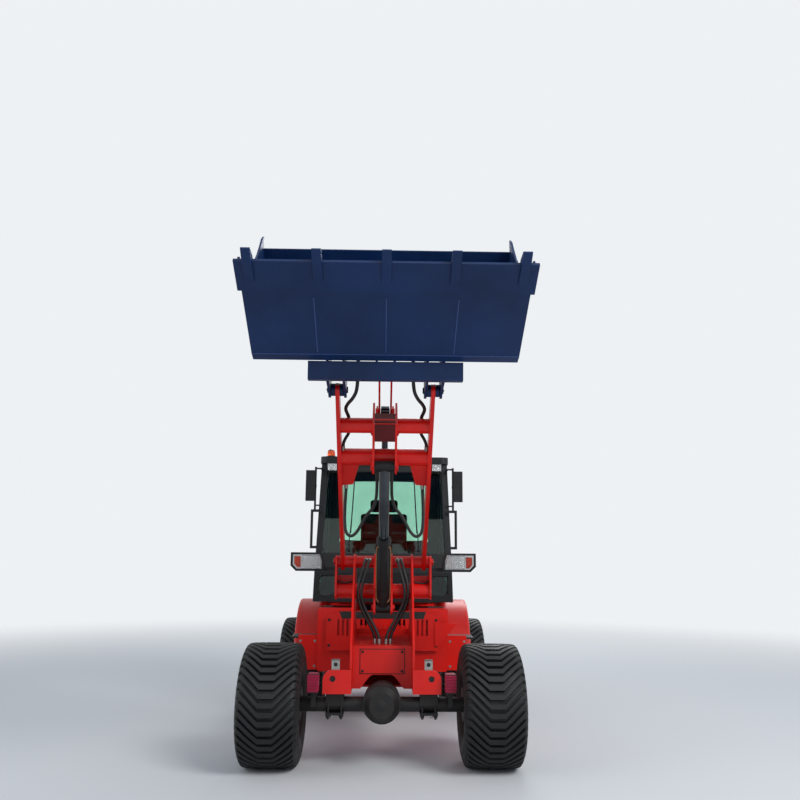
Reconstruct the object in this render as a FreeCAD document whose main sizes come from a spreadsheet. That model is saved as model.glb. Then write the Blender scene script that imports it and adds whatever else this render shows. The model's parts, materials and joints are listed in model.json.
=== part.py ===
import FreeCAD, Part
import Sketcher
import math
import os
import re
from FreeCAD import Placement, Rotation, Vector

# Compact articulated wheel loader, boom raised, bucket rolled back.
# Millimetres. +Z up, the front faces -Y, +X is the machine's left side.
# While the pieces are made, Y = 0 is the front axle. At the end they all
# move along Y by one amount, so that the origin is under the middle.

SIZES = [
    # running gear
    ("wheelbase", 2100, "front axle to rear axle"),
    ("half_track", 733, "middle of the machine to a tyre's middle"),
    ("tyre_radius", 395, "to the lugs' tips"),
    ("tyre_width", 408, "across the sidewalls"),
    ("tread_width", 358, "across the lugs"),
    ("lug_height", 24, "lug tip above the carcass"),
    ("lug_width", 30, "width of a lug's bar"),
    ("lug_centre", 34, "half of a lug's straight middle"),
    ("lug_rise", 92, "how far a lug's ends lead its middle"),
    ("rim_radius", 190, "bead seat"),
    ("rim_width", 330, "across the rim's bead seats"),
    ("rim_wall", 16, "rim thickness"),
    ("rim_hole", 15, "radius of a hole in the wheel's disc"),
    ("hub_radius", 80, "wheel hub"),
    ("axle_radius", 48, "axle tube"),
    ("diff_radius", 122, "differential housing"),
    ("diff_high", 413, "height of the differential housing"),
    ("joint_behind", "=wheelbase / 2", "front axle to the centre hinge, midway so that the wheels share a track"),
    ("joint_low", 455, "height of the lower lug of the centre hinge"),
    ("joint_high", 735, "height of the upper lug of the centre hinge"),
    ("joint_pin", 30, "radius of the centre hinge pin"),
    ("lug_plate", 30, "thickness of a hinge lug"),
    # front frame
    ("deck_low", 490, "underside of the front frame"),
    ("deck_high", 761, "deck of the front frame"),
    ("nose", 60, "front edge of the side plates ahead of the axle"),
    ("nose_plate", 105, "recessed front plate behind the axle"),
    ("lug_wall", 800, "top of the wall that carries the hinge lugs"),
    ("tower_top", 1385, "top of the tower's plates"),
    ("tower_inner", 212, "inner tower plate from the middle"),
    ("tower_outer", 350, "outer tower plate from the middle"),
    ("tower_centre", 62, "centre plate from the middle"),
    ("plate", 14, "frame plate thickness"),
    ("pivot_behind", 440, "boom pivot behind the front axle"),
    ("pivot_high", 1330, "boom pivot height"),
    ("pivot_pin", 24, "radius of the boom pivot pin"),
    ("low_tube_high", 1117, "height of the tower's lower tube"),
    ("low_tube_radius", 54, "tower's lower tube"),
    ("top_tube_radius", 44, "tower's upper tube"),
    ("lift_base_behind", 260, "lift cylinder's base pin behind the axle"),
    ("lift_base_high", 1010, "lift cylinder's base pin height"),
    # boom, in its own frame: along the arm from the pivot, and above it
    ("boom_angle", 43.5, "boom above level, in degrees"),
    ("boom_length", 1572, "pivot to the bucket's hinge"),
    ("arm_side", 303, "arm plate's middle from the middle"),
    ("arm_thick", 26, "arm plate thickness"),
    ("upper_tube_along", 1289, "upper cross tube along the arm"),
    ("upper_tube_radius", 50, "upper cross tube"),
    ("lower_tube_along", 1022, "lower cross tube along the arm"),
    ("lower_tube_radius", 57, "lower cross tube"),
    ("lift_eye_along", 1040, "lift cylinder's eye along the arm"),
    ("lift_eye_below", 118, "lift cylinder's eye below the arm"),
    ("rocker_along", 1153, "rocker pivot along the arm"),
    ("rocker_above", 112, "rocker pivot above the arm"),
    ("rocker_reach", 59, "rocker's top pin ahead of its pivot"),
    ("rocker_rise", 153, "rocker's top pin above its pivot"),
    ("link_ahead", 26, "link's pin ahead of the bucket's hinge"),
    ("link_above", 160, "link's pin above the bucket's hinge"),
    ("bracket_side", 75, "bracket plate's middle from the middle"),
    ("pin_radius", 20, "linkage pins"),
    ("pin_gap", 0.3, "running clearance round a pin"),
    ("open_gap", 4, "play round the pin where the linkage is open"),
    ("side_gap", 1, "clearance beside an eye or boss"),
    ("boss_radius", 30, "boss round a linkage pin"),
    # cylinders
    ("lift_barrel_radius", 46, "lift cylinder's barrel"),
    ("lift_rod_radius", 32, "lift cylinder's rod"),
    ("lift_barrel_length", 590, "base pin to the gland"),
    ("lift_rod_length", 595, "rod eye to the rod's inner end"),
    ("tilt_barrel_radius", 38, "tilt cylinder's barrel"),
    ("tilt_rod_radius", 22, "tilt cylinder's rod"),
    ("tilt_barrel_length", 900, "base pin to the gland"),
    ("tilt_rod_length", 560, "rod eye to the rod's inner end"),
    # bucket, in its own frame: forward along the floor, and up from it
    ("floor_angle", 32.3, "bucket floor above level, in degrees"),
    ("bucket_half", 790, "half of the bucket's width"),
    ("bucket_plate", 12, "bucket plate thickness"),
    ("floor_below", 98, "floor below the bucket's hinge"),
    ("heel_ahead", 330, "heel ahead of the hinge"),
    ("edge_ahead", 1063, "cutting edge ahead of the hinge"),
    ("lip_ahead", 623, "top lip ahead of the hinge"),
    ("lip_above", 634, "top lip above the hinge"),
    ("edge_half", 808, "half of the cutting edge's length"),
    ("edge_width", 200, "cutting edge, front to back"),
    ("edge_thick", 18, "cutting edge thickness"),
    ("tooth_out", 100, "tooth beyond the edge"),
    ("tooth_width", 50, "tooth width"),
    ("tooth_pitch", 367, "between teeth"),
    ("beam_half", 465, "half of the coupler's lower beam"),
    # cab
    ("cab_front", 1190, "cab's lower front behind the front axle"),
    ("cab_lean", 145, "windscreen's top behind its bottom"),
    ("cab_rear", 2170, "cab's rear wall"),
    ("cab_floor", 990, "underside of the cab"),
    ("cab_waist", 1230, "height where the windscreen's slope starts"),
    ("cab_top", 2170, "underside of the roof"),
    ("cab_half_low", 590, "half width at the floor"),
    ("cab_half_high", 553, "half width at the roof"),
    ("cab_wall", 45, "wall and pillar thickness"),
    ("roof_thick", 58, "roof thickness"),
    ("door_front", 1345, "door opening's front edge"),
    ("door_rear", 1950, "door opening's rear edge"),
    ("door_low", 1045, "door opening's bottom"),
    ("door_high", 2120, "door opening's top"),
    ("door_gap", 6, "gap round a door"),
    ("glass_thick", 8, "window glass"),
    # rear
    ("rear_end", 3100, "rear face of the counterweight behind the front axle"),
    ("weight_length", 140, "counterweight, front to back"),
    ("weight_half", 560, "half width of the counterweight"),
    ("weight_low", 430, "underside of the counterweight"),
    ("weight_high", 905, "top of the counterweight"),
    ("hood_front", 2215, "hood's front edge"),
    ("hood_half", 430, "half width of the hood"),
    ("hood_low", 925, "lower edge of the hood"),
    ("hood_high", 1430, "top of the hood"),
    ("hood_wall", 20, "hood wall"),
    ("rail_side", 230, "rear frame rail's middle from the middle"),
    ("rail_low", 455, "underside of the rails"),
    ("rail_high", 700, "top of the rails"),
    ("fender_radius", 556, "inside of the rear fender's arch"),
    ("fender_thick", 12, "fender plate"),
    ("fender_in", 505, "fender's inner wall from the middle"),
    ("fender_out", 779, "fender's outer edge from the middle"),
    ("fender_lip", 34, "depth of the fender's outer lip"),
    ("step_ahead", 860, "front edge of the steps ahead of the rear axle"),
    ("step_length", 230, "a step, front to back"),
    ("step_reach", 765, "outer edge of the steps from the middle"),
    ("tank_ahead", 890, "front of the side tanks ahead of the rear axle"),
    ("tank_length", 290, "side tank, front to back"),
    ("tank_side", 545, "outer face of the side tanks from the middle"),
    ("hose_radius", 11, "hydraulic hose"),
]
LUG_COUNT = 36

doc = FreeCAD.newDocument("wheel_loader")
sheet = doc.addObject("Spreadsheet::Sheet", "Sizes")
for row, (alias, number, note) in enumerate(SIZES, 1):
    sheet.set("A%d" % row, note)
    sheet.set("B%d" % row, str(number))
    sheet.setAlias("B%d" % row, alias)
doc.recompute()


class Values:
    """The sheet's numbers, for the code that places pieces."""


dim = Values()
for alias, number, note in SIZES:
    setattr(dim, alias, float(sheet.get(alias)))

WORDS = re.compile(r"\b(" + "|".join(entry[0] for entry in SIZES) + r")\b")


def bind(piece, path, rule):
    """Set one property, to a number or to a rule on the sheet's cells."""
    text = WORDS.sub(r"Sizes.\1", str(rule))
    piece.setExpression(path, text)


def box(name, xs, ys, zs):
    """A box between two rules along each axis."""
    piece = doc.addObject("Part::Box", name)
    for size, letter, (low, high) in zip(("Length", "Width", "Height"), "xyz", (xs, ys, zs)):
        bind(piece, size, "(%s) - (%s)" % (high, low))
        bind(piece, "Placement.Base." + letter, low)
    return piece


TURNS = {
    "X": Rotation(Vector(0, 1, 0), 90),
    "Y": Rotation(Vector(1, 0, 0), -90),
    "Z": Rotation(),
}


def rod(name, axis, radius, start, length, angle=None):
    """A cylinder along an axis from a start point given by three rules."""
    piece = doc.addObject("Part::Cylinder", name)
    piece.Placement = Placement(Vector(), TURNS[axis])
    bind(piece, "Radius", radius)
    bind(piece, "Height", length)
    for letter, rule in zip("xyz", start):
        bind(piece, "Placement.Base." + letter, rule)
    if angle is not None:
        bind(piece, "Angle", angle)
    return piece


def cross_rod(name, radius, y, z, x_low, x_high):
    """A cylinder along X between two rules."""
    return rod(name, "X", radius, (x_low, y, z), "(%s) - (%s)" % (x_high, x_low))


def fuse(name, *pieces):
    group = doc.addObject("Part::MultiFuse", name)
    group.Shapes = list(pieces)
    group.Refine = True
    return group


def cut(name, base, *tools):
    result = doc.addObject("Part::Cut", name)
    result.Base = base
    result.Tool = tools[0] if len(tools) == 1 else fuse(name + "_tools", *tools)
    result.Refine = True
    return result


def common(name, *pieces):
    group = doc.addObject("Part::MultiCommon", name)
    group.Shapes = list(pieces)
    group.Refine = True
    return group


def solids(name, *pieces):
    """Pieces that don't touch, kept as separate solids of one node."""
    group = doc.addObject("Part::Compound", name)
    group.Links = list(pieces)
    return group


def mirrored(name, piece):
    """The same piece on the machine's other side."""
    twin = doc.addObject("Part::Mirroring", name)
    twin.Source = piece
    twin.Normal = Vector(1, 0, 0)
    return twin


PLANES = {"X": "YZ_Plane", "Y": "XZ_Plane", "Z": "XY_Plane"}


def plate(name, axis, low, high, outline, holes=(), rounds=()):
    """A plate across an axis, between two rules along it.

    outline: the corners, each two rules in the plate's plane
    holes: circles, each (first, second, radius)
    rounds: rounded corners, each (corner's number, radius)
    """
    body = doc.addObject("PartDesign::Body", name)
    plane = next(
        part for part in body.Origin.OriginFeatures if part.Role == PLANES[axis]
    )
    sketch = body.newObject("Sketcher::SketchObject", name + "_outline")
    sketch.AttachmentSupport = (plane, [""])
    sketch.MapMode = "FlatFace"
    # the XZ plane looks along -Y, so a plate across Y starts at its far side
    start = "-(%s)" % high if axis == "Y" else low
    bind(sketch, "AttachmentOffset.Base.z", start)
    count = len(outline)
    spots = [
        Vector(100 * math.cos(2 * math.pi * k / count), 100 * math.sin(2 * math.pi * k / count), 0)
        for k in range(count)
    ]
    for k in range(count):
        sketch.addGeometry(Part.LineSegment(spots[k], spots[(k + 1) % count]), False)
    for k in range(count):
        sketch.addConstraint(
            Sketcher.Constraint("Coincident", k, 2, (k + 1) % count, 1)
        )
    rules = []
    for k, corner in enumerate(outline):
        for kind, rule, value in zip(("DistanceX", "DistanceY"), corner, (spots[k].x, spots[k].y)):
            sketch.addConstraint(Sketcher.Constraint(kind, -1, 1, k, 1, value))
            rules.append((sketch.ConstraintCount - 1, rule))
    for k, (first, second, radius) in enumerate(holes):
        ring = count + k
        sketch.addGeometry(
            Part.Circle(Vector(0.1 * k, 0, 0), Vector(0, 0, 1), 5), False
        )
        sketch.addConstraint(Sketcher.Constraint("DistanceX", -1, 1, ring, 3, 0.1 * k))
        rules.append((sketch.ConstraintCount - 1, first))
        sketch.addConstraint(Sketcher.Constraint("DistanceY", -1, 1, ring, 3, 0))
        rules.append((sketch.ConstraintCount - 1, second))
        sketch.addConstraint(Sketcher.Constraint("Radius", ring, 5))
        rules.append((sketch.ConstraintCount - 1, radius))
    for number, rule in rules:
        bind(sketch, "Constraints[%d]" % number, rule)
    pad = body.newObject("PartDesign::Pad", name + "_pad")
    pad.Profile = sketch
    bind(pad, "Length", "(%s) - (%s)" % (high, low))
    body.Tip = pad
    if rounds:
        doc.recompute()
        for number, (corner, radius) in enumerate(rounds):
            point = sketch.Geometry[corner].StartPoint
            spot = sketch.Placement.multVec(point)
            across = sketch.Placement.Rotation.multVec(Vector(0, 0, 1))
            base = body.Tip
            edges = []
            for k, edge in enumerate(base.Shape.Edges, 1):
                if len(edge.Vertexes) != 2:
                    continue
                ends = [vertex.Point.sub(spot) for vertex in edge.Vertexes]
                if all(end.cross(across).Length < 0.01 for end in ends):
                    edges.append("Edge%d" % k)
            fillet = body.newObject("PartDesign::Fillet", "%s_round%d" % (name, number))
            fillet.Base = (base, edges)
            bind(fillet, "Radius", radius)
            body.Tip = fillet
            doc.recompute()
    return body


def place(piece, base, angle=0):
    """Turn a piece about X by an angle in degrees, and move it."""
    piece.Placement = Placement(base, Rotation(Vector(1, 0, 0), angle))
    return piece


# Where things are, worked out from the sheet

PIVOT = Vector(0, dim.pivot_behind, dim.pivot_high)
LIFT_BASE = Vector(0, dim.lift_base_behind, dim.lift_base_high)


def boom_point(along, above):
    """A point of the raised boom, from its own frame to the machine's."""
    turn = math.radians(dim.boom_angle)
    return PIVOT + Vector(
        0,
        -along * math.cos(turn) + above * math.sin(turn),
        along * math.sin(turn) + above * math.cos(turn),
    )


HINGE = boom_point(dim.boom_length, 0)
LIFT_EYE = boom_point(dim.lift_eye_along, -dim.lift_eye_below)
ROCKER = boom_point(dim.rocker_along, dim.rocker_above)
ROCKER_TOP = boom_point(
    dim.rocker_along + dim.rocker_reach, dim.rocker_above + dim.rocker_rise
)
FLOOR = math.radians(dim.floor_angle)
LINK_FRONT = HINGE + Vector(
    0,
    -dim.link_ahead * math.cos(FLOOR) + dim.link_above * math.sin(FLOOR),
    dim.link_ahead * math.sin(FLOOR) + dim.link_above * math.cos(FLOOR),
)


def upward(start, end):
    """Degrees that a line from start to end climbs towards the front."""
    return math.degrees(math.atan2(end.z - start.z, start.y - end.y))


nodes = {}


def keep(piece, label):
    piece.Label = label
    nodes[label] = piece
    return piece


# Wheels: each tyre and rim about its own axle, X across the machine

def turned(name, corners):
    """A ring about X, from corners that are each two rules: along X, and the radius."""
    body = doc.addObject("PartDesign::Body", name)
    plane = next(p for p in body.Origin.OriginFeatures if p.Role == "XY_Plane")
    line = next(p for p in body.Origin.OriginFeatures if p.Role == "X_Axis")
    sketch = body.newObject("Sketcher::SketchObject", name + "_section")
    sketch.AttachmentSupport = (plane, [""])
    sketch.MapMode = "FlatFace"
    count = len(corners)
    turns = [2 * math.pi * k / count for k in range(count)]
    spots = [Vector(100 * math.cos(turn), 300 + 100 * math.sin(turn), 0) for turn in turns]
    for k in range(count):
        sketch.addGeometry(Part.LineSegment(spots[k], spots[(k + 1) % count]), False)
    for k in range(count):
        sketch.addConstraint(Sketcher.Constraint("Coincident", k, 2, (k + 1) % count, 1))
    for k, (first, second) in enumerate(corners):
        sketch.addConstraint(Sketcher.Constraint("DistanceX", -1, 1, k, 1, spots[k].x))
        bind(sketch, "Constraints[%d]" % (sketch.ConstraintCount - 1), first)
        sketch.addConstraint(Sketcher.Constraint("DistanceY", -1, 1, k, 1, spots[k].y))
        bind(sketch, "Constraints[%d]" % (sketch.ConstraintCount - 1), second)
    ring = body.newObject("PartDesign::Revolution", name + "_turned")
    ring.Profile = sketch
    ring.ReferenceAxis = (line, [""])
    ring.Angle = 360
    body.Tip = ring
    return body


def tyre_shape():
    """A carcass of flat facets, as many as lugs, with V-shaped lugs round it."""
    sections = []
    rings = [
        ("tyre_width / 2", "tyre_radius - 100"),
        ("tread_width / 2 + 2", "tyre_radius - lug_height - 18"),
        ("tread_width / 2 - 22", "tyre_radius - lug_height"),
    ]
    spans = [("-(%s)" % x, radius) for x, radius in rings] + rings[::-1]
    for number, (x, radius) in enumerate(spans):
        ring = doc.addObject("Part::RegularPolygon", "tyre_ring_%d" % number)
        ring.Polygon = LUG_COUNT
        ring.Placement = Placement(Vector(), TURNS["X"])
        bind(ring, "Circumradius", radius)
        bind(ring, "Placement.Base.x", x)
        sections.append(ring)
    loft = doc.addObject("Part::Loft", "tyre_carcass")
    loft.Sections = sections
    loft.Solid = True
    loft.Ruled = True
    hollows = [cross_rod("tyre_bore", "rim_radius", "0", "0", "-tyre_width", "tyre_width")]
    for side, turn, start in (("left", 90, "rim_width / 2"), ("right", -90, "-rim_width / 2")):
        cone = doc.addObject("Part::Cone", "tyre_flank_" + side)
        cone.Placement = Placement(Vector(), Rotation(Vector(0, 1, 0), turn))
        bind(cone, "Radius1", "rim_radius + 6")
        bind(cone, "Radius2", "rim_radius + 46")
        bind(cone, "Height", "(tyre_width - rim_width) / 2 + 1")
        bind(cone, "Placement.Base.x", start)
        hollows.append(cone)
    slope = "(lug_rise / (tread_width / 2 - lug_centre))"
    lean = "(lug_width / 2 * sqrt(1 + %s ^ 2))" % slope
    half = "tread_width / 2"
    outline = [
        ("-" + half, "lug_rise / 2 - " + lean), ("-lug_centre", "-lug_rise / 2 - lug_width / 2"),
        ("lug_centre", "-lug_rise / 2 - lug_width / 2"), (half, "lug_rise / 2 - " + lean),
        (half, "lug_rise / 2 + " + lean), ("lug_centre", "-lug_rise / 2 + lug_width / 2"),
        ("-lug_centre", "-lug_rise / 2 + lug_width / 2"), ("-" + half, "lug_rise / 2 + " + lean),
    ]
    reach = "sqrt(tyre_radius ^ 2 - (lug_rise / 2 + %s) ^ 2)" % lean
    lug = plate("tyre_lug", "Y", "-" + reach, "-(tyre_radius - lug_height - 14)", outline)
    # the tyre stands on a lug's corner, so the first lug is turned by its reach
    climb = dim.lug_rise / (dim.tread_width / 2 - dim.lug_centre)
    corner = dim.lug_rise / 2 + dim.lug_width / 2 * math.sqrt(1 + climb ** 2)
    first = 90 + math.degrees(math.asin(corner / dim.tyre_radius))
    lugs = []
    for k in range(LUG_COUNT):
        one = solids("tyre_lug_%d" % k, lug)
        one.Placement = Placement(Vector(), Rotation(Vector(1, 0, 0), first + 360 * k / LUG_COUNT))
        lugs.append(one)
    return fuse("tyre_shape", cut("tyre_casing", loft, *hollows), *lugs)


def rim_shape():
    """A rim with lips, a coned disc with round holes, and the hub's bore."""
    edge, inside = "rim_radius - 0.2", "rim_radius - rim_wall - 0.2"
    half = "rim_width / 2"
    ring = turned("rim_ring", [
        ("-%s" % half, edge), ("-%s" % half, "rim_radius + 3"), ("-%s - 8" % half, "rim_radius + 3"),
        ("-%s - 8" % half, inside), ("50", inside), ("10", "hub_radius + 30"), ("10", "hub_radius - 20"),
        ("30", "hub_radius - 20"), ("30", "hub_radius + 24"), ("66", inside), ("%s + 8" % half, inside),
        ("%s + 8" % half, "rim_radius + 3"), (half, "rim_radius + 3"), (half, edge),
    ])
    holes = []
    for k in range(8):
        hole = cross_rod("rim_hole_%d" % k, "rim_hole", "0", "(rim_radius - rim_wall + hub_radius + 30) / 2", "0", "100")
        turn = solids("rim_hole_turn_%d" % k, hole)
        turn.Placement = Placement(Vector(), Rotation(Vector(1, 0, 0), 45 * k))
        holes.append(turn)
    return cut("rim_shape", ring, *holes)


def on_axle(name, shape, side, y):
    """One of the four wheels, its outer face away from the middle."""
    wheel = solids(name, shape)
    turn = Rotation() if side > 0 else Rotation(Vector(0, 0, 1), 180)
    wheel.Placement = Placement(Vector(side * dim.half_track, y, dim.tyre_radius), turn)
    return wheel


WHEELS = [
    ("front_left", 1, 0.0),
    ("front_right", -1, 0.0),
    ("rear_left", 1, dim.wheelbase),
    ("rear_right", -1, dim.wheelbase),
]
tyre_master, rim_master = tyre_shape(), rim_shape()
for place_name, side, y in WHEELS:
    tyre = solids("tyre_" + place_name, tyre_master)
    tyre.Placement = Placement(Vector(side * dim.half_track, y, dim.tyre_radius), Rotation())
    keep(tyre, "tyre_" + place_name)
    keep(on_axle("rim_" + place_name, rim_master, side, y), "rim_" + place_name)


def axle(name, y, nose_side, pad_near, pad_far, pad_top):
    """Axle tube with its differential housing, and hubs for the wheels."""
    parts = [cross_rod(name + "_tube", "axle_radius", y, "tyre_radius", "-half_track + 60", "half_track - 60")]
    for side, sign in (("left", 1), ("right", -1)):
        for kind, radius, near, far in (
            ("drum", "hub_radius + 30", "half_track - 188", "half_track - 150"),
            ("hub", "hub_radius - 5", "half_track - 150", "half_track + 9.7"),
            ("spindle", "hub_radius - 20.3", "half_track", "half_track + 58"),
        ):
            low, high = (near, far) if sign > 0 else ("-(%s)" % far, "-(%s)" % near)
            parts.append(cross_rod("%s_%s_%s" % (name, kind, side), radius, y, "tyre_radius", low, high))
        low, high = (pad_near, pad_far) if sign > 0 else ("-(%s)" % pad_far, "-(%s)" % pad_near)
        parts.append(box("%s_pad_%s" % (name, side), (low, high), (y + " - 60", y + " + 60"), ("tyre_radius", pad_top)))
        low, high = (pad_near, pad_far) if sign > 0 else ("-(%s)" % pad_far, "-(%s)" % pad_near)
        parts.append(box("%s_clamp_%s" % (name, side), (low, high), (y + " - 66", y + " + 66"),
                         ("tyre_radius - axle_radius - 14", "tyre_radius - axle_radius + 2")))
        for number, x in enumerate(("%s + 16" % low, "%s - 16" % high)):
            for end, reach in enumerate(("- 54", "+ 54")):
                bolt = "%s_bolt_%s_%d_%d" % (name, side, number, end)
                at = (x, "%s %s" % (y, reach), "tyre_radius - axle_radius - 38")
                parts.append(rod(bolt, "Z", "8", at, "axle_radius + 60"))
                parts.append(rod(bolt + "_nut", "Z", "14", at[:2] + ("tyre_radius - axle_radius - 26",), "14"))
        low, high = ("420", "490") if sign > 0 else ("-490", "-420")
        parts.append(box("%s_caliper_%s" % (name, side), (low, high), (y + " - 165", y + " - 75"), ("tyre_radius + 95", "tyre_radius + 215")))
        low, high = ("440", "470") if sign > 0 else ("-470", "-440")
        parts.append(box("%s_caliper_arm_%s" % (name, side), (low, high), (y + " - 110", y + " + 20"), ("tyre_radius", "tyre_radius + 115")))
    ahead, behind = ("130", "90") if nose_side > 0 else ("90", "130")
    parts.append(rod(name + "_drum", "Y", "diff_radius", ("0", "%s - %s" % (y, ahead), "diff_high"), "220"))
    snout_turn, cover_turn = TURNS["Y"], Rotation(Vector(1, 0, 0), 90)
    snout_at, cover_at = y + " + 90", y + " - 130"
    if nose_side < 0:
        snout_turn, cover_turn = cover_turn, snout_turn
        snout_at, cover_at = y + " - 90", y + " + 130"
    for kind, turn, at, wide, narrow, length in (
        ("snout", snout_turn, snout_at, "diff_radius - 8", "diff_radius / 2", "118"),
        ("cover", cover_turn, cover_at, "diff_radius - 6", "diff_radius - 40", "38"),
    ):
        cone = doc.addObject("Part::Cone", name + "_" + kind)
        cone.Placement = Placement(Vector(), turn)
        bind(cone, "Radius1", wide)
        bind(cone, "Radius2", narrow)
        bind(cone, "Height", length)
        bind(cone, "Placement.Base.y", at)
        bind(cone, "Placement.Base.z", "diff_high")
        parts.append(cone)
    return fuse(name, *parts)


keep(axle("front_axle", "0", 1, "255", "375", "deck_low - plate - 0.3"), "front_axle")
keep(axle("rear_axle", "wheelbase", -1, "190", "275", "rail_low - 0.3"), "rear_axle")


# Front frame: nose, deck, tower and the centre hinge's front lugs

PORTS = (103, 129)


def front_frame():
    parts = []
    inner = [
        ("-nose", "deck_low"),
        ("-nose", "782"),
        ("60", "980"),
        ("345", "tower_top"),
        ("505", "tower_top"),
        ("560", "tower_top - 150"),
        ("640", "lug_wall + 90"),
        ("joint_behind - 130", "lug_wall"),
        ("joint_behind - 130", "deck_low - 50"),
        ("400", "deck_low - 50"),
        ("250", "deck_low"),
    ]
    outer = [
        ("pivot_behind - 90", "low_tube_high - 60"),
        ("pivot_behind - 90", "tower_top - 10"),
        ("pivot_behind + 70", "tower_top - 10"),
        ("pivot_behind + 70", "low_tube_high - 60"),
    ]
    centre = [
        ("lift_base_behind - 55", "lift_base_high - 50"),
        ("lift_base_behind - 55", "lift_base_high + 60"),
        ("pivot_behind - 60", "pivot_high + 60"),
        ("pivot_behind + 60", "pivot_high + 60"),
        ("pivot_behind + 60", "low_tube_high - 60"),
        ("lift_base_behind + 90", "lift_base_high - 50"),
    ]
    for side, sign in (("left", 1), ("right", -1)):
        for kind, at, corners, rounds in (
            ("inner", "tower_inner", inner, ((3, "40"), (4, "40"))),
            ("outer", "tower_outer", outer, ((1, "40"), (2, "40"), (0, "40"))),
            ("centre", "tower_centre", centre, ((0, "40"), (1, "30"), (2, "40"), (3, "40"))),
        ):
            middle = at if sign > 0 else "-" + at
            parts.append(
                plate(
                    "frame_%s_%s" % (kind, side), "X",
                    "%s - plate / 2" % middle, "%s + plate / 2" % middle,
                    corners, (), rounds,
                )
            )
        near, far = ("tower_centre", "tower_outer") if sign > 0 else ("-tower_outer", "-tower_centre")
        parts.append(cross_rod("frame_low_tube_" + side, "low_tube_radius", "pivot_behind - 20", "low_tube_high", near, far))
        near, far = ("tower_centre", "tower_inner") if sign > 0 else ("-tower_inner", "-tower_centre")
        parts.append(cross_rod("frame_top_tube_" + side, "top_tube_radius", "pivot_behind", "pivot_high", near, far))
        parts.append(cross_rod("frame_pin_" + side, "pivot_pin", "pivot_behind", "pivot_high",
                               "tower_centre" if sign > 0 else "-tower_outer - 25",
                               "tower_outer + 25" if sign > 0 else "-tower_centre"))
        for number, x in enumerate(PORTS):
            at = ("%d" % (sign * x), "pivot_behind - top_tube_radius - 30", "pivot_high + 15")
            parts.append(rod("frame_port_%s_%d" % (side, number), "Y", "hose_radius + 5", at, "60"))
        near, far = ("tower_inner", "tower_outer") if sign > 0 else ("-tower_outer", "-tower_inner")
        parts.append(box("frame_back_" + side, (near, far), ("pivot_behind + 50", "pivot_behind + 50 + plate"),
                         ("low_tube_high - 50", "low_tube_high + 110")))
        near, far = ("tower_inner - plate / 2", "395") if sign > 0 else ("-395", "-tower_inner + plate / 2")
        parts.append(box("frame_flange_" + side, (near, far), ("-110", "110"), ("deck_low - plate", "deck_low")))
        ear_corners = [(near, "deck_low"), (near, "deck_low + 138"), (far, "deck_low + 138"), (far, "deck_low")]
        hole_x = "330" if sign > 0 else "-330"
        parts.append(plate("frame_ear_" + side, "Y", "-110", "-110 + plate", ear_corners,
                           ((hole_x, "deck_low + 82", "20"),), ((2 if sign > 0 else 1, "62"),)))
    nose_corners = [
        ("-tower_inner", "deck_low - plate"),
        ("-tower_inner", "deck_high"),
        ("tower_inner", "deck_high"),
        ("tower_inner", "deck_low - plate"),
        ("150", "deck_low - plate"),
        ("79", "deck_low + 78"),
        ("-79", "deck_low + 78"),
        ("-150", "deck_low - plate"),
    ]
    parts.append(plate("frame_nose", "Y", "nose_plate", "nose_plate + plate", nose_corners, (), ((5, "50"), (6, "50"))))
    parts.append(box("frame_deck", ("-tower_inner", "tower_inner"), ("nose_plate", "joint_behind - 130"),
                     ("deck_high - plate", "deck_high")))
    parts.append(box("frame_floor", ("-tower_inner", "tower_inner"), ("400", "joint_behind - 130"),
                     ("deck_low - 50", "deck_low - 50 + plate")))
    parts.append(box("frame_rear_wall", ("-tower_inner", "tower_inner"),
                     ("joint_behind - 130 - plate", "joint_behind - 130"), ("deck_low - 50", "lug_wall")))
    for level, height in (("low", "joint_low"), ("high", "joint_high + lug_plate + side_gap")):
        ends = (("joint_behind - 140", "joint_behind"))
        lug = box("frame_lug_" + level, ("-90", "90"), ends, (height, height + " + lug_plate"))
        tip = rod("frame_lug_tip_" + level, "Z", "90", ("0", "joint_behind", height), "lug_plate")
        parts += [lug, tip]
    parts.append(rod("frame_joint_pin", "Z", "joint_pin", ("0", "joint_behind", "joint_low - 12"),
                     "joint_high - joint_low + 2 * lug_plate + side_gap + 24"))
    parts.append(cross_rod("frame_lift_pin", "pin_radius", "lift_base_behind", "lift_base_high",
                           "-tower_centre - 22", "tower_centre + 22"))
    parts.append(cross_rod("frame_tilt_pin", "pivot_pin", "pivot_behind", "pivot_high",
                           "-tower_centre", "tower_centre"))
    return fuse("front_frame", *parts)


keep(front_frame(), "front_frame")
cover = plate("nose_cover", "Y", "nose_plate - 6.3", "nose_plate - 0.3",
              [("-152", "deck_low + 88"), ("-152", "deck_low + 246"), ("152", "deck_low + 246"), ("152", "deck_low + 88")],
              [(x, z, "7") for x in ("-137", "137") for z in ("deck_low + 103", "deck_low + 231")],
              [(k, "10") for k in range(4)])
keep(cover, "nose_cover")


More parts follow.
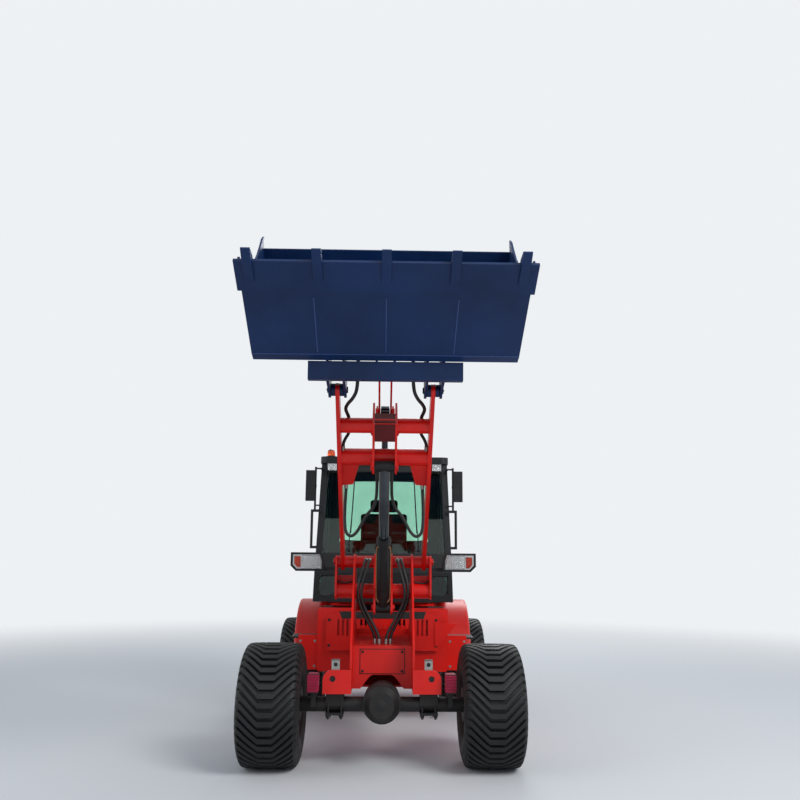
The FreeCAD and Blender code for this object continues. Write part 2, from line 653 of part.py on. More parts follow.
def hose(name, points):
    """A hose along straight runs joined by arcs that touch them."""
    points = [Vector(point) for point in points]
    edges, last = [], points[0]
    for before, corner, after in zip(points, points[1:], points[2:]):
        into, out = corner.sub(before), after.sub(corner)
        half = into.getAngle(out) / 2
        reach = 0.45 * min(into.Length, out.Length)
        start = corner - into.normalize() * reach
        end = corner + out.normalize() * reach
        radius = reach / math.tan(half)
        middle = corner + (out - into).normalize() * (radius / math.cos(half) - radius)
        edges += [Part.makeLine(last, start), Part.Arc(start, middle, end).toShape()]
        last = end
    edges.append(Part.makeLine(last, points[-1]))
    route = doc.addObject("Part::Feature", name + "_route")
    route.Shape = Part.Wire(edges)
    ring = doc.addObject("Part::Circle", name + "_section")
    bind(ring, "Radius", "hose_radius")
    ring.Placement = Placement(points[0], Rotation(Vector(0, 0, 1), points[1].sub(points[0])))
    tube = doc.addObject("Part::Sweep", name)
    tube.Sections = [ring]
    tube.Spine = (route, [])
    tube.Solid = True
    tube.Frenet = False
    return tube


# two hoses on each side, from ports on the upper tube down through the deck
HOSES = [
    [(PORTS[0], -74.3, 15), (104, -140, 15), (112, -202, -20), (126, -240, -80), (148, -250, -150), (160, -244, -225),
     (140, -226, -305), (98, -218, -385), (52, -226, -462), (24, -236, -520)],
    [(PORTS[1], -74.3, 15), (131, -140, 15), (140, -200, -18), (154, -236, -78), (174, -246, -148), (184, -240, -223),
     (166, -220, -303), (126, -208, -383), (82, -208, -461), (54, -212, -518)],
]
tower_hoses = []
for side, sign in (("left", 1), ("right", -1)):
    for number, route in enumerate(HOSES):
        points = [PIVOT + Vector(sign * x, y, z) for x, y, z in route]
        end = Vector(points[-1].x, points[-1].y, dim.deck_high + 0.3)
        tower_hoses.append(hose("tower_hose_%s_%d" % (side, number), points + [end]))
keep(solids("tower_hoses", *tower_hoses), "tower_hoses")


def headlamps():
    """A lamp on each side of the tower, on an arm from its outer plate."""
    lamps = []
    for side, sign in (("left", 1), ("right", -1)):
        inner, outer = ("435", "680")
        corners = [
            (inner, "1262"), (inner, "1340"), ("455", "1396"), (outer, "1396"), (outer, "1300"), ("640", "1262"),
        ]
        if sign < 0:
            corners = [("-" + x, z) for x, z in corners]
        case = plate("headlamp_case_" + side, "Y", "285", "375", corners)
        near, far = ("tower_outer + plate / 2 + 0.3", "440") if sign > 0 else ("-440", "-tower_outer - plate / 2 - 0.3")
        arm = box("headlamp_arm_" + side, (near, far), ("360", "375"), ("1262", "1290"))
        lamps.append(fuse("headlamp_" + side, case, arm))
    return solids("headlamps", *lamps)


keep(headlamps(), "headlamps")


# Boom, made level along -Y and then raised

def along_boom(rule):
    return "-(%s)" % rule


def boom():
    profile = [
        (along_boom("-62"), "-55"), (along_boom("-62"), "55"), (along_boom("330"), "74"),
        (along_boom("850"), "86"), (along_boom("1300"), "70"), (along_boom("boom_length + 40"), "42"),
        (along_boom("boom_length + 40"), "-42"), (along_boom("1300"), "-58"), (along_boom("850"), "-66"),
        (along_boom("330"), "-64"),
    ]
    parts = []
    for side, sign in (("left", 1), ("right", -1)):
        middle = "arm_side" if sign > 0 else "-arm_side"
        parts.append(
            plate(
                "boom_arm_" + side, "X", middle + " - arm_thick / 2", middle + " + arm_thick / 2", profile,
                (), ((0, "50"), (1, "50"), (5, "40"), (6, "40")),
            )
        )
        low, high = ("tower_inner + plate / 2 + side_gap", "tower_outer - plate / 2 - side_gap")
        if sign < 0:
            low, high = "-(%s)" % high, "-(%s)" % low
        parts.append(cross_rod("boom_hub_" + side, "top_tube_radius", "0", "0", low, high))
        parts.append(cross_rod("boom_tip_" + side, "38", along_boom("boom_length"), "0",
                               middle + " - 40", middle + " + 40"))
        bracket = [
            (along_boom("985"), "-150"), (along_boom("985"), "60"), (along_boom("1105"), "152"),
            (along_boom("1215"), "152"), (along_boom("1290"), "200"), (along_boom("1330"), "200"),
            (along_boom("1345"), "60"), (along_boom("1345"), "-58"), (along_boom("1180"), "-62"),
            (along_boom("1085"), "-162"),
        ]
        middle = "bracket_side" if sign > 0 else "-bracket_side"
        parts.append(plate("boom_bracket_" + side, "X", middle + " - plate / 2", middle + " + plate / 2", bracket,
                           (), ((0, "30"), (2, "40"), (9, "35"))))
        outer, inner, mid = "arm_side", "175", "215"
        gusset = [(outer, along_boom("965")), (inner, along_boom("965")), (mid, along_boom("800")), (outer, along_boom("790"))]
        if sign < 0:
            gusset = [("-" + x, y) for x, y in gusset]
        parts.append(plate("boom_gusset_" + side, "Z", "-30", "-18", gusset))
        web = [(outer, along_boom("lower_tube_along")), (inner, along_boom("lower_tube_along")),
               (inner, along_boom("960")), (outer, along_boom("960"))]
        if sign < 0:
            web = [("-" + x, y) for x, y in web]
        parts.append(plate("boom_web_" + side, "Z", "-30", "-18", web))
    parts.append(cross_rod("boom_upper_tube", "upper_tube_radius", along_boom("upper_tube_along"), "0", "-arm_side", "arm_side"))
    parts.append(cross_rod("boom_lower_tube", "lower_tube_radius", along_boom("lower_tube_along"), "0", "-arm_side", "arm_side"))
    for side, low, high in (("left", "bracket_side", "bracket_side + 17"), ("right", "-bracket_side - 17", "-bracket_side")):
        parts.append(cross_rod("boom_lift_boss_" + side, "boss_radius", along_boom("lift_eye_along"), "-lift_eye_below", low, high))
        parts.append(cross_rod("boom_rocker_boss_" + side, "boss_radius", along_boom("rocker_along"), "rocker_above", low, high))
    parts.append(cross_rod("boom_rocker_pin", "pin_radius", along_boom("rocker_along"), "rocker_above",
                           "-bracket_side - 22", "bracket_side + 22"))
    parts.append(box("boom_tray", ("-bracket_side", "bracket_side"), ("-1345", "-1200"), ("-58", "-46")))
    whole = fuse("boom_solid", *parts)
    bores = []
    for side, sign in (("left", 1), ("right", -1)):
        low, high = ("tower_inner - 20", "tower_outer + 20") if sign > 0 else ("-tower_outer - 20", "-tower_inner + 20")
        bores.append(cross_rod("boom_bore_" + side, "pivot_pin + pin_gap", "0", "0", low, high))
        middle = "arm_side" if sign > 0 else "-arm_side"
        bores.append(cross_rod("boom_tip_bore_" + side, "pin_radius + pin_gap", along_boom("boom_length"), "0",
                               middle + " - 60", middle + " + 60"))
    return cut("boom", whole, *bores)


keep(place(boom(), PIVOT, -dim.boom_angle), "boom")


# Rocker: two plates on a hub, a pin across the top

def rocker():
    parts = []
    outline = [
        ("-rocker_reach + 18", "rocker_rise + 30"), ("-rocker_reach - 28", "rocker_rise + 22"),
        ("-rocker_reach - 30", "rocker_rise - 16"), ("-38", "-14"), ("-10", "-36"), ("30", "-26"), ("38", "14"),
        ("-rocker_reach + 34", "rocker_rise + 6"),
    ]
    for side, sign in (("left", 1), ("right", -1)):
        middle = "54" if sign > 0 else "-54"
        parts.append(plate("rocker_plate_" + side, "X", middle + " - 6", middle + " + 6", outline))
    parts.append(cross_rod("rocker_hub", "36", "0", "0", "-bracket_side + plate / 2 + side_gap", "bracket_side - plate / 2 - side_gap"))
    for side, low, high in (("left", "33", "66"), ("right", "-66", "-33")):
        parts.append(cross_rod("rocker_pin_" + side, "pin_radius", "-rocker_reach", "rocker_rise", low, high))
    whole = fuse("rocker_solid", *parts)
    bore = cross_rod("rocker_bore", "pin_radius + pin_gap", "0", "0", "-100", "100")
    return cut("rocker", whole, bore)


keep(place(rocker(), ROCKER, -dim.boom_angle), "rocker")

LINK_LENGTH = LINK_FRONT.sub(ROCKER_TOP).Length


def tilt_link():
    """A fork of two bars, a solid head at the bucket's end."""
    length = "%.3f" % LINK_LENGTH
    parts = []
    for side, sign in (("left", 1), ("right", -1)):
        low, high = ("33", "46") if sign > 0 else ("-46", "-33")
        bar = [
            ("34", "-24"), ("34", "24"), ("-%s + 60" % length, "20"), ("-%s + 60" % length, "-20"),
        ]
        parts.append(plate("link_bar_" + side, "X", low, high, bar, (), ((0, "22"), (1, "22"))))
    parts.append(cross_rod("link_head", "34", "-" + length, "0", "-46", "46"))
    parts.append(box("link_block", ("-46", "46"), ("-%s" % length, "-%s + 90" % length), ("-20", "20")))
    whole = fuse("link_solid", *parts)
    bores = [
        cross_rod("link_bore_rear", "pin_radius + pin_gap", "0", "0", "-100", "100"),
        cross_rod("link_bore_front", "pin_radius + open_gap", "-" + length, "0", "-100", "100"),
    ]
    return cut("tilt_link", whole, *bores)


keep(place(tilt_link(), ROCKER_TOP, -upward(ROCKER_TOP, LINK_FRONT)), "tilt_link")


# Cylinders: each barrel from its base pin, each rod from its eye

def barrel(name, radius, rod_radius, length, pin, eye_half):
    """A barrel along -Y with an eye at its base pin."""
    tube = rod(name + "_tube", "Y", radius, ("0", "-(%s)" % length, "0"), "%s - 30" % length)
    gland = rod(name + "_gland", "Y", "%s + 5" % radius, ("0", "-(%s)" % length, "0"), "45")
    eye = cross_rod(name + "_eye", "40", "0", "0", "-" + eye_half, eye_half)
    whole = fuse(name + "_solid", tube, gland, eye)
    bore = rod(name + "_bore", "Y", "%s + pin_gap" % rod_radius, ("0", "-(%s) - 10" % length, "0"), "%s - 31" % length)
    pin_bore = cross_rod(name + "_pin_bore", "%s + pin_gap" % pin, "0", "0", "-200", "200")
    return cut(name, whole, bore, pin_bore)


def piston_rod(name, radius, length, eye_half, pin_half):
    """A rod along +Y from its eye, with the middle of the pin in the eye."""
    bar = rod(name + "_bar", "Y", radius, ("0", "0", "0"), length)
    eye = cross_rod(name + "_eye", "36", "0", "0", "-" + eye_half, eye_half)
    pin = cross_rod(name + "_pin", "pin_radius", "0", "0", "-" + pin_half, pin_half)
    return fuse(name, bar, eye, pin)


LIFT_SLOPE = upward(LIFT_BASE, LIFT_EYE)
keep(place(barrel("lift_barrel", "lift_barrel_radius", "lift_rod_radius", "lift_barrel_length", "pin_radius", "50"),
           LIFT_BASE, -LIFT_SLOPE), "lift_barrel")
keep(place(piston_rod("lift_rod", "lift_rod_radius", "lift_rod_length", "60", "66"), LIFT_EYE, -LIFT_SLOPE), "lift_rod")
TILT_SLOPE = upward(PIVOT, ROCKER_TOP)
keep(place(barrel("tilt_barrel", "tilt_barrel_radius", "tilt_rod_radius", "tilt_barrel_length", "pivot_pin", "46"),
           PIVOT, -TILT_SLOPE), "tilt_barrel")
keep(place(piston_rod("tilt_rod", "tilt_rod_radius", "tilt_rod_length", "28", "31"), ROCKER_TOP, -TILT_SLOPE), "tilt_rod")


# Coupler and bucket, made with the floor level along -Y and the hinge at 0

def forward(rule):
    return "-(%s)" % rule


def coupler():
    """Beam, ears astride the arms' tips and lugs astride the link."""
    beam = [(forward(f), n) for f, n in (("262", "-167"), ("219", "-140"), ("276", "-48"), ("330", "-80"))]
    parts = [plate("coupler_beam", "X", "-beam_half", "beam_half", beam)]
    ear = [(forward(f), n) for f, n in (
        ("-42", "-30"), ("-42", "30"), ("-10", "46"), ("180", "250"), ("304", "318"), ("316", "-26"), ("262", "-140"),
        ("200", "-120"), ("30", "-46"), ("-10", "-46"),
    )]
    lug = [(forward(f), n) for f, n in (
        ("-6", "150"), ("-4", "178"), ("26", "194"), ("180", "230"), ("304", "300"), ("316", "-20"), ("250", "-20"),
        ("150", "90"), ("50", "130"), ("10", "132"),
    )]
    for side, sign in (("left", 1), ("right", -1)):
        middle = "arm_side" if sign > 0 else "-arm_side"
        for number, near, far in ((1, "-57.5", "-41.5"), (2, "41.5", "57.5")):
            parts.append(plate("coupler_ear_%s_%d" % (side, number), "X",
                               "%s + %s" % (middle, near), "%s + %s" % (middle, far), ear))
        parts.append(cross_rod("coupler_pin_" + side, "pin_radius", "0", "0", middle + " - 66", middle + " + 66"))
        low, high = ("49", "62") if sign > 0 else ("-62", "-49")
        parts.append(plate("coupler_lug_" + side, "X", low, high, lug))
    parts.append(cross_rod("coupler_link_pin", "pin_radius", "-link_ahead", "link_above", "-68", "68"))
    parts.append(box("coupler_back", ("-arm_side - 57", "arm_side + 57"), ("-322", "-308"), ("-20", "290")))
    return fuse("coupler_solid", *parts)


SHELL = [("edge_ahead", "-floor_below"), ("heel_ahead + 70", "-floor_below"), ("heel_ahead + 5", "-80"),
         ("heel_ahead - 20", "-30"), ("300", "330"), ("420", "560"), ("lip_ahead", "lip_above")]
INSIDE = [("lip_ahead + 4", "lip_above - 12"), ("428", "550"), ("312", "327"), ("heel_ahead - 8", "-27"),
          ("heel_ahead + 14", "-70"), ("heel_ahead + 72", "-floor_below + bucket_plate"),
          ("edge_ahead", "-floor_below + bucket_plate")]


def bucket():
    """Shell, side plates, cutting edge and teeth."""
    strip = [(forward(f), n) for f, n in SHELL + INSIDE]
    parts = [plate("bucket_shell", "X", "-bucket_half + 6", "bucket_half - 6", strip)]
    cheek = SHELL + [("664", "700"), ("690", "640"), ("700", "560"), ("722", "430"), ("762", "300"), ("822", "170"),
                     ("905", "60"), ("990", "-20"), ("edge_ahead + 10", "-68")]
    cheek = [(forward(f), n) for f, n in cheek]
    for side, sign in (("left", 1), ("right", -1)):
        low, high = ("bucket_half - bucket_plate", "bucket_half") if sign > 0 else ("-bucket_half", "-bucket_half + bucket_plate")
        parts.append(plate("bucket_side_" + side, "X", low, high, cheek))
    parts.append(box("bucket_edge", ("-edge_half", "edge_half"), ("-edge_ahead - 20", "-edge_ahead - 20 + edge_width"),
                     ("-floor_below - edge_thick", "-floor_below")))
    tooth = [(forward(f), n) for f, n in (
        ("edge_ahead - 110", "-floor_below"), ("edge_ahead - 90", "-floor_below + 26"),
        ("edge_ahead + 20", "-floor_below + 26"), ("edge_ahead + tooth_out", "-floor_below - 10"),
        ("edge_ahead + tooth_out", "-floor_below - 20"), ("edge_ahead + 20", "-floor_below - 34"),
        ("edge_ahead - 110", "-floor_below - 26"),
    )]
    for number in range(-2, 3):
        middle = "tooth_pitch * %d" % number
        parts.append(plate("bucket_tooth_%d" % (number + 3), "X", middle + " - tooth_width / 2",
                           middle + " + tooth_width / 2", tooth))
    return fuse("bucket_solid", *parts)


keep(place(bucket(), HINGE, -dim.floor_angle), "bucket")
shell_room = plate("coupler_trim", "X", "-bucket_half", "bucket_half", [(forward(f), n) for f, n in SHELL] +
                   [("-edge_ahead", "500")])
coupler_part = cut("coupler", coupler(), shell_room)
keep(place(coupler_part, HINGE, -dim.floor_angle), "coupler")


# Rear frame: rails, hinge lugs, bulkhead, engine tray

def rear_frame():
    parts = []
    for side, sign in (("left", 1), ("right", -1)):
        low, high = ("rail_side - 8", "rail_side + 8") if sign > 0 else ("-rail_side - 8", "-rail_side + 8")
        parts.append(box("rail_" + side, (low, high), ("joint_behind + 130", "rear_end - weight_length - 0.3"), ("rail_low", "rail_high")))
        parts.append(box("post_front_" + side, (low, high), ("1360", "1440"), ("rail_high", "cab_floor - 0.3")))
        parts.append(box("post_rear_" + side, (low, high), ("2080", "2140"), ("rail_high", "cab_floor - 0.3")))
        low, high = ("rail_side - 8", "hood_half") if sign > 0 else ("-hood_half", "-rail_side + 8")
        parts.append(box("tray_" + side, (low, high), ("hood_front", "rear_end - weight_length - 0.3"), ("hood_low - 18", "hood_low - 3")))
        low, high = ("rail_side - 8", "rail_side + 8") if sign > 0 else ("-rail_side - 8", "-rail_side + 8")
        parts.append(box("tray_wall_" + side, (low, high), ("hood_front", "rear_end - weight_length - 0.3"), ("rail_high", "hood_low - 18")))
    parts.append(box("rear_cross_front", ("-rail_side", "rail_side"), ("joint_behind + 130", "joint_behind + 150"), ("rail_low", "lug_wall")))
    parts.append(box("rear_cross_mid", ("-rail_side", "rail_side"), ("1640", "1656"), ("rail_low + 90", "rail_high")))
    parts.append(box("rear_cross_back", ("-rail_side", "rail_side"), ("2870", "2886"), ("rail_low", "rail_high")))
    for level, height in (("low", "joint_low + lug_plate + side_gap"), ("high", "joint_high")):
        parts.append(box("rear_lug_" + level, ("-90", "90"), ("joint_behind", "joint_behind + 140"), (height, height + " + lug_plate")))
        parts.append(rod("rear_lug_tip_" + level, "Z", "90", ("0", "joint_behind", height), "lug_plate"))
    parts.append(box("rear_bulkhead", ("-hood_half + 25", "hood_half - 25"), ("hood_front - 24", "hood_front - 10"), ("hood_low - 18", "hood_high - 50")))
    parts.append(box("rear_bulkhead_foot", ("-rail_side", "rail_side"), ("hood_front - 24", "hood_front + 10"), ("hood_low - 18", "hood_low - 3")))
    whole = fuse("rear_frame_solid", *parts)
    bore = rod("rear_lug_bore", "Z", "joint_pin + pin_gap", ("0", "joint_behind", "rail_low - 50"), "600")
    return cut("rear_frame", whole, bore)


keep(rear_frame(), "rear_frame")
panel = plate("panel_plate", "Y", "joint_behind + 123.7", "joint_behind + 129.7",
              [("-470", "600"), ("-470", "880"), ("-350", "920"), ("350", "920"), ("470", "880"), ("470", "600"),
               ("100", "600"), ("100", "joint_high + 42"), ("-100", "joint_high + 42"), ("-100", "600")],
              (), [(k, "15") for k in (0, 1, 2, 3, 4, 5)])
slots = []
for number, x in enumerate((142, 178, 292, 330, 368)):
    for side, middle in (("left", x), ("right", -x)):
        slots.append(box("panel_slot_%s_%d" % (side, number), ("%d - 9" % middle, "%d + 9" % middle),
                         ("joint_behind + 100", "joint_behind + 150"), ("joint_high - 15", "joint_high + 115")))
keep(cut("front_panel", panel, *slots), "front_panel")

tanks = []
tank_span = ("wheelbase - tank_ahead", "wheelbase - tank_ahead + tank_length")
for side, sign in (("left", 1), ("right", -1)):
    near, far = ("rail_side + 8.3", "tank_side") if sign > 0 else ("-tank_side", "-rail_side - 8.3")
    tanks.append(plate("tank_" + side, "Y", tank_span[0], tank_span[1],
                       [(near, "430"), (near, "940"), (far, "940"), (far, "430")], (),
                       [(k, "30") for k in ((2, 3) if sign > 0 else (0, 1))]))
keep(solids("tanks", *tanks), "tanks")

steps = []
step_span = ("wheelbase - step_ahead", "wheelbase - step_ahead + step_length")
for side, sign in (("left", 1), ("right", -1)):
    near, far = ("tank_side + 0.3", "step_reach") if sign > 0 else ("-step_reach", "-tank_side - 0.3")
    parts = []
    for number, z in enumerate(("440", "690")):
        parts.append(box("tread_%s_%d" % (side, number), (near, far), step_span, (z, z + " + 14")))
    for number, y in enumerate((step_span[0], step_span[1] + " - 10")):
        reach = ("tank_side + 0.3", "step_reach - 65") if sign > 0 else ("-step_reach + 65", "-tank_side - 0.3")
        parts.append(box("riser_%s_%d" % (side, number), reach, (y, y + " + 10"), ("440", "704")))
    steps.append(fuse("steps_" + side, *parts))
keep(solids("steps", *steps), "steps")

engine = box("engine_block", ("-190", "190"), ("2270", "2760"), ("620", "1120"))
fan = rod("engine_fan", "Y", "170", ("0", "2760", "880"), "40")
sump = box("engine_sump", ("-120", "120"), ("2330", "2700"), ("560", "620"))
feet = [box("engine_foot_%d" % k, (x, x + " + 32.7"), ("2400", "2480"), ("640", "680")) for k, x in enumerate(("-221.7", "189"))]
keep(fuse("engine", engine, fan, sump, *feet), "engine")

weight = plate("weight_block", "Z", "weight_low", "weight_high",
               [("-weight_half", "rear_end - weight_length"), ("-weight_half", "rear_end"), ("weight_half", "rear_end"),
                ("weight_half", "rear_end - weight_length")], (), ((1, "70"), (2, "70")))
lamp_holes = []
for side, x in (("left", "395"), ("right", "-505")):
    lamp_holes.append(box("tail_hole_" + side, (x, x + " + 110"), ("rear_end - 30", "rear_end + 10"), ("weight_high - 115", "weight_high - 45")))
keep(cut("counterweight", weight, *lamp_holes), "counterweight")
lamps = []
for side, x in (("left", "395.3"), ("right", "-504.7")):
    lamps.append(box("tail_lamp_" + side, (x, x + " + 109.4"), ("rear_end - 29.7", "rear_end - 2"), ("weight_high - 114.7", "weight_high - 45.3")))
keep(solids("tail_lamps", *lamps), "tail_lamps")


# Fenders: the upper half of a ring over each rear tyre, on a plate to the frame

def fender(name, sign):
    """A rolled arch with an outer lip, closed by a wall on the inside."""
    sections = [
        ("fender_in", "fender_radius + fender_thick"), ("fender_out - 22", "fender_radius + fender_thick"),
        ("fender_out - 6", "fender_radius + fender_thick - 6"), ("fender_out", "fender_radius + fender_thick - 22"),
        ("fender_out", "fender_radius - fender_lip"), ("fender_out - fender_thick", "fender_radius - fender_lip"),
        ("fender_out - fender_thick", "fender_radius - 10"), ("fender_out - fender_thick - 10", "fender_radius"),
        ("fender_in + fender_thick", "fender_radius"), ("fender_in + fender_thick", "fender_radius - 300"),
        ("fender_in", "fender_radius - 300"),
    ]
    if sign < 0:
        sections = [("-(%s)" % x, radius) for x, radius in sections]
    arch = turned(name + "_arch", sections)
    arch.Placement = Placement(Vector(0, dim.wheelbase, dim.tyre_radius), Rotation())
    near, far = ("fender_in - 10", "fender_out + 10") if sign > 0 else ("-fender_out - 10", "-fender_in + 10")
    lower = box(name + "_lower", (near, far), ("wheelbase - 700", "wheelbase + 700"), ("-400", "tyre_radius + 5"))
    ring = cut(name + "_ring", arch, lower)
    near, far = ("rail_side + 8.3", "fender_in + 20") if sign > 0 else ("-fender_in - 20", "-rail_side - 8.3")
    arm = box(name + "_arm", (near, far), ("wheelbase - 80", "wheelbase + 60"),
              ("tyre_radius + fender_radius - 24", "tyre_radius + fender_radius - 12"))
    return fuse(name, ring, arm)


fenders = [fender("fender_left", 1), fender("fender_right", -1)]
keep(solids("fenders", *fenders), "fenders")


# Cab: a leaning shell, so each wall or pane is one shape less a smaller one

def cab_shape(name, inset):
    inset = "(%s)" % inset
    side = plate(name + "_side", "X", "-cab_half_low - 50", "cab_half_low + 50", [
        ("cab_front + %s" % inset, "cab_floor + %s" % inset),
        ("cab_front + %s" % inset, "cab_waist"),
        ("cab_front + cab_lean + %s" % inset, "cab_top"),
        ("cab_rear - 20 - %s" % inset, "cab_top"),
        ("cab_rear + 10 - %s" % inset, "cab_floor + %s" % inset),
    ])
    face = plate(name + "_face", "Y", "cab_front - 50", "cab_rear + 50", [
        ("-cab_half_low + %s" % inset, "cab_floor + %s" % inset),
        ("-cab_half_high + %s" % inset, "cab_top"),
        ("cab_half_high - %s" % inset, "cab_top"),
        ("cab_half_low - %s" % inset, "cab_floor + %s" % inset),
    ])
    return common(name, side, face)


def shield_outline(less):
    return [("-528 + %s" % less, "1386 + %s" % less), ("-505 + %s" % less, "2098 - %s" % less),
            ("505 - %s" % less, "2098 - %s" % less), ("528 - %s" % less, "1386 + %s" % less)]


def corner_outline(sign, less):
    near, far = ("400 + %s" % less, "548 - %s" % less)
    if sign < 0:
        near, far = "-(%s)" % near, "-(%s)" % far
    return [(near, "1040 + %s" % less), (near, "1206 - %s" % less), (far, "1206 - %s" % less), (far, "1040 + %s" % less)]


def rear_outline(less):
    return [("-430 + %s" % less, "1500 + %s" % less), ("-430 + %s" % less, "2090 - %s" % less),
            ("430 - %s" % less, "2090 - %s" % less), ("430 - %s" % less, "1500 + %s" % less)]


def door_outline(less):
    return [("1262 + %s" % less, "door_low + %s" % less), ("1262 + %s" % less, "1240"),
            ("1396 + %s" % less, "door_high - %s" % less), ("door_rear - %s" % less, "door_high - %s" % less),
            ("door_rear - %s" % less, "door_low + %s" % less)]


def pane_outline(less):
    return [("1370 + %s" % less, "1420 + %s" % less), ("1457 + %s" % less, "2050 - %s" % less),
            ("1885 - %s" % less, "2050 - %s" % less), ("1885 - %s" % less, "1420 + %s" % less)]


def low_pane_outline(less):
    return [("1335 + %s" % less, "1130 + %s" % less), ("1335 + %s" % less, "1330 - %s" % less),
            ("1885 - %s" % less, "1330 - %s" % less), ("1885 - %s" % less, "1130 + %s" % less)]


def quarter_outline(less):
    return [("1995 + %s" % less, "1300 + %s" % less), ("1995 + %s" % less, "2080 - %s" % less),
            ("2090 - %s" % less, "2080 - %s" % less), ("2100 - %s" % less, "1300 + %s" % less)]


outside = cab_shape("cab_outside", "0")
inside = cab_shape("cab_inside", "cab_wall")
ceiling = box("cab_ceiling", ("-700", "700"), ("1000", "2400"), ("cab_top", "cab_top + 200"))
openings = [
    inside,
    plate("hole_shield", "Y", "1150", "1500", shield_outline("0")),
    plate("hole_corner_left", "Y", "1150", "1260", corner_outline(1, "0")),
    plate("hole_corner_right", "Y", "1150", "1260", corner_outline(-1, "0")),
    plate("hole_rear", "Y", "2050", "2250", rear_outline("0")),
    plate("hole_doors", "X", "-700", "700", door_outline("0")),
    plate("hole_quarters", "X", "-700", "700", quarter_outline("0")),
]
shell = cut("cab_shell", outside, *openings)
hinge_arms = []
for side, sign in (("left", 1), ("right", -1)):
    for level, z, near in (("low", "1200", "566"), ("high", "1900", "545")):
        low, high = (near, "612") if sign > 0 else ("-612", "-" + near)
        for end, lift in (("under", "-12"), ("over", "62")):
            hinge_arms.append(box("hinge_%s_%s_%s" % (side, level, end), (low, high),
                                  ("door_rear - 5.4", "door_rear + 40"), ("%s + %s" % (z, lift), "%s + %s + 10" % (z, lift))))
        hinge_arms.append(box("hinge_back_%s_%s" % (side, level), (low, high), ("door_rear + 25", "door_rear + 40"),
                              ("%s - 12" % z, "%s + 72" % z)))
        x = "602" if sign > 0 else "-602"
        hinge_arms.append(rod("hinge_pin_%s_%s" % (side, level), "Z", "5", (x, "door_rear", "%s - 12" % z), "84"))
hinge_arms_group = fuse("cab_hinges", *hinge_arms)
cab_trim = cut("cab_hinges_outside", hinge_arms_group, cab_shape("cab_hinge_trim", "10"))
keep(fuse("cab", shell, cab_trim), "cab")
keep(plate("cab_roof", "Z", "cab_top + 0.3", "cab_top + roof_thick",
           [("-cab_half_high - 12", "cab_front + cab_lean - 30"), ("-cab_half_high - 12", "cab_rear + 25"),
            ("cab_half_high + 12", "cab_rear + 25"), ("cab_half_high + 12", "cab_front + cab_lean - 30")], (),
           [(k, "60") for k in range(4)]), "cab_roof")


def pane(name, axis, low, high, corners, number):
    """Glass in a wall, cut from a thin shell set in from the outside."""
    skin = cut(name + "_skin", cab_shape(name + "_front", "14"), cab_shape(name + "_back", "14 + glass_thick"))
    return common(name, skin, plate(name + "_area", axis, low, high, corners))


keep(pane("windshield", "Y", "1150", "1500", shield_outline("0.2"), 0), "windshield")
keep(solids("lower_windows",
            pane("corner_window_left", "Y", "1150", "1260", corner_outline(1, "0.2"), 0),
            pane("corner_window_right", "Y", "1150", "1260", corner_outline(-1, "0.2"), 0)), "lower_windows")
keep(solids("rear_windows",
            pane("rear_window", "Y", "2050", "2250", rear_outline("0.2"), 0),
            pane("quarter_left", "X", "400", "700", quarter_outline("0.2"), 0),
            pane("quarter_right", "X", "-700", "-400", quarter_outline("0.2"), 0)), "rear_windows")


def door(side, sign):
    near, far = ("400", "700") if sign > 0 else ("-700", "-400")
    name = "door_" + side
    skin = cut(name + "_skin", cab_shape(name + "_outside", "0"), cab_shape(name + "_inside", "30"))
    leaf = common(name + "_leaf", skin, plate(name + "_area", "X", near, far, door_outline("door_gap")))
    holes = [plate(name + "_hole_high", "X", near, far, pane_outline("0")),
             plate(name + "_hole_low", "X", near, far, low_pane_outline("0"))]
    panel = cut(name + "_panel", leaf, *holes)
    extras = []
    for level, z, reach in (("low", "1200", "570"), ("high", "1900", "548")):
        x = "602" if sign > 0 else "-602"
        extras.append(rod("%s_knuckle_%s" % (name, level), "Z", "10", (x, "door_rear", "%s - 1" % z), "62"))
        low, high = (reach, "602") if sign > 0 else ("-602", "-" + reach)
        extras.append(box("%s_strap_%s" % (name, level), (low, high), ("door_rear - 40", "door_rear - 7"),
                          ("%s - 1" % z, "%s + 61" % z)))
        extras.append(box("%s_strap_end_%s" % (name, level), ("590", "606") if sign > 0 else ("-606", "-590"),
                          ("door_rear - 40", "door_rear"), ("%s - 1" % z, "%s + 61" % z)))
    grip = ("572", "600") if sign > 0 else ("-600", "-572")
    extras.append(box(name + "_handle", grip, ("1300", "1420"), ("1368", "1392")))
    whole = fuse(name + "_solid", panel, *extras)
    x = "602" if sign > 0 else "-602"
    pin_bore = rod(name + "_pin_bore", "Z", "5.3", (x, "door_rear", "1100"), "1000")
    return cut(name, whole, pin_bore)


for side, sign in (("left", 1), ("right", -1)):
    near, far = ("400", "700") if sign > 0 else ("-700", "-400")
    keep(door(side, sign), "door_" + side)
    keep(solids("door_glass_" + side,
                pane("door_pane_" + side, "X", near, far, pane_outline("0.2"), 0),
                pane("door_low_pane_" + side, "X", near, far, low_pane_outline("0.2"), 0)), "door_glass_" + side)

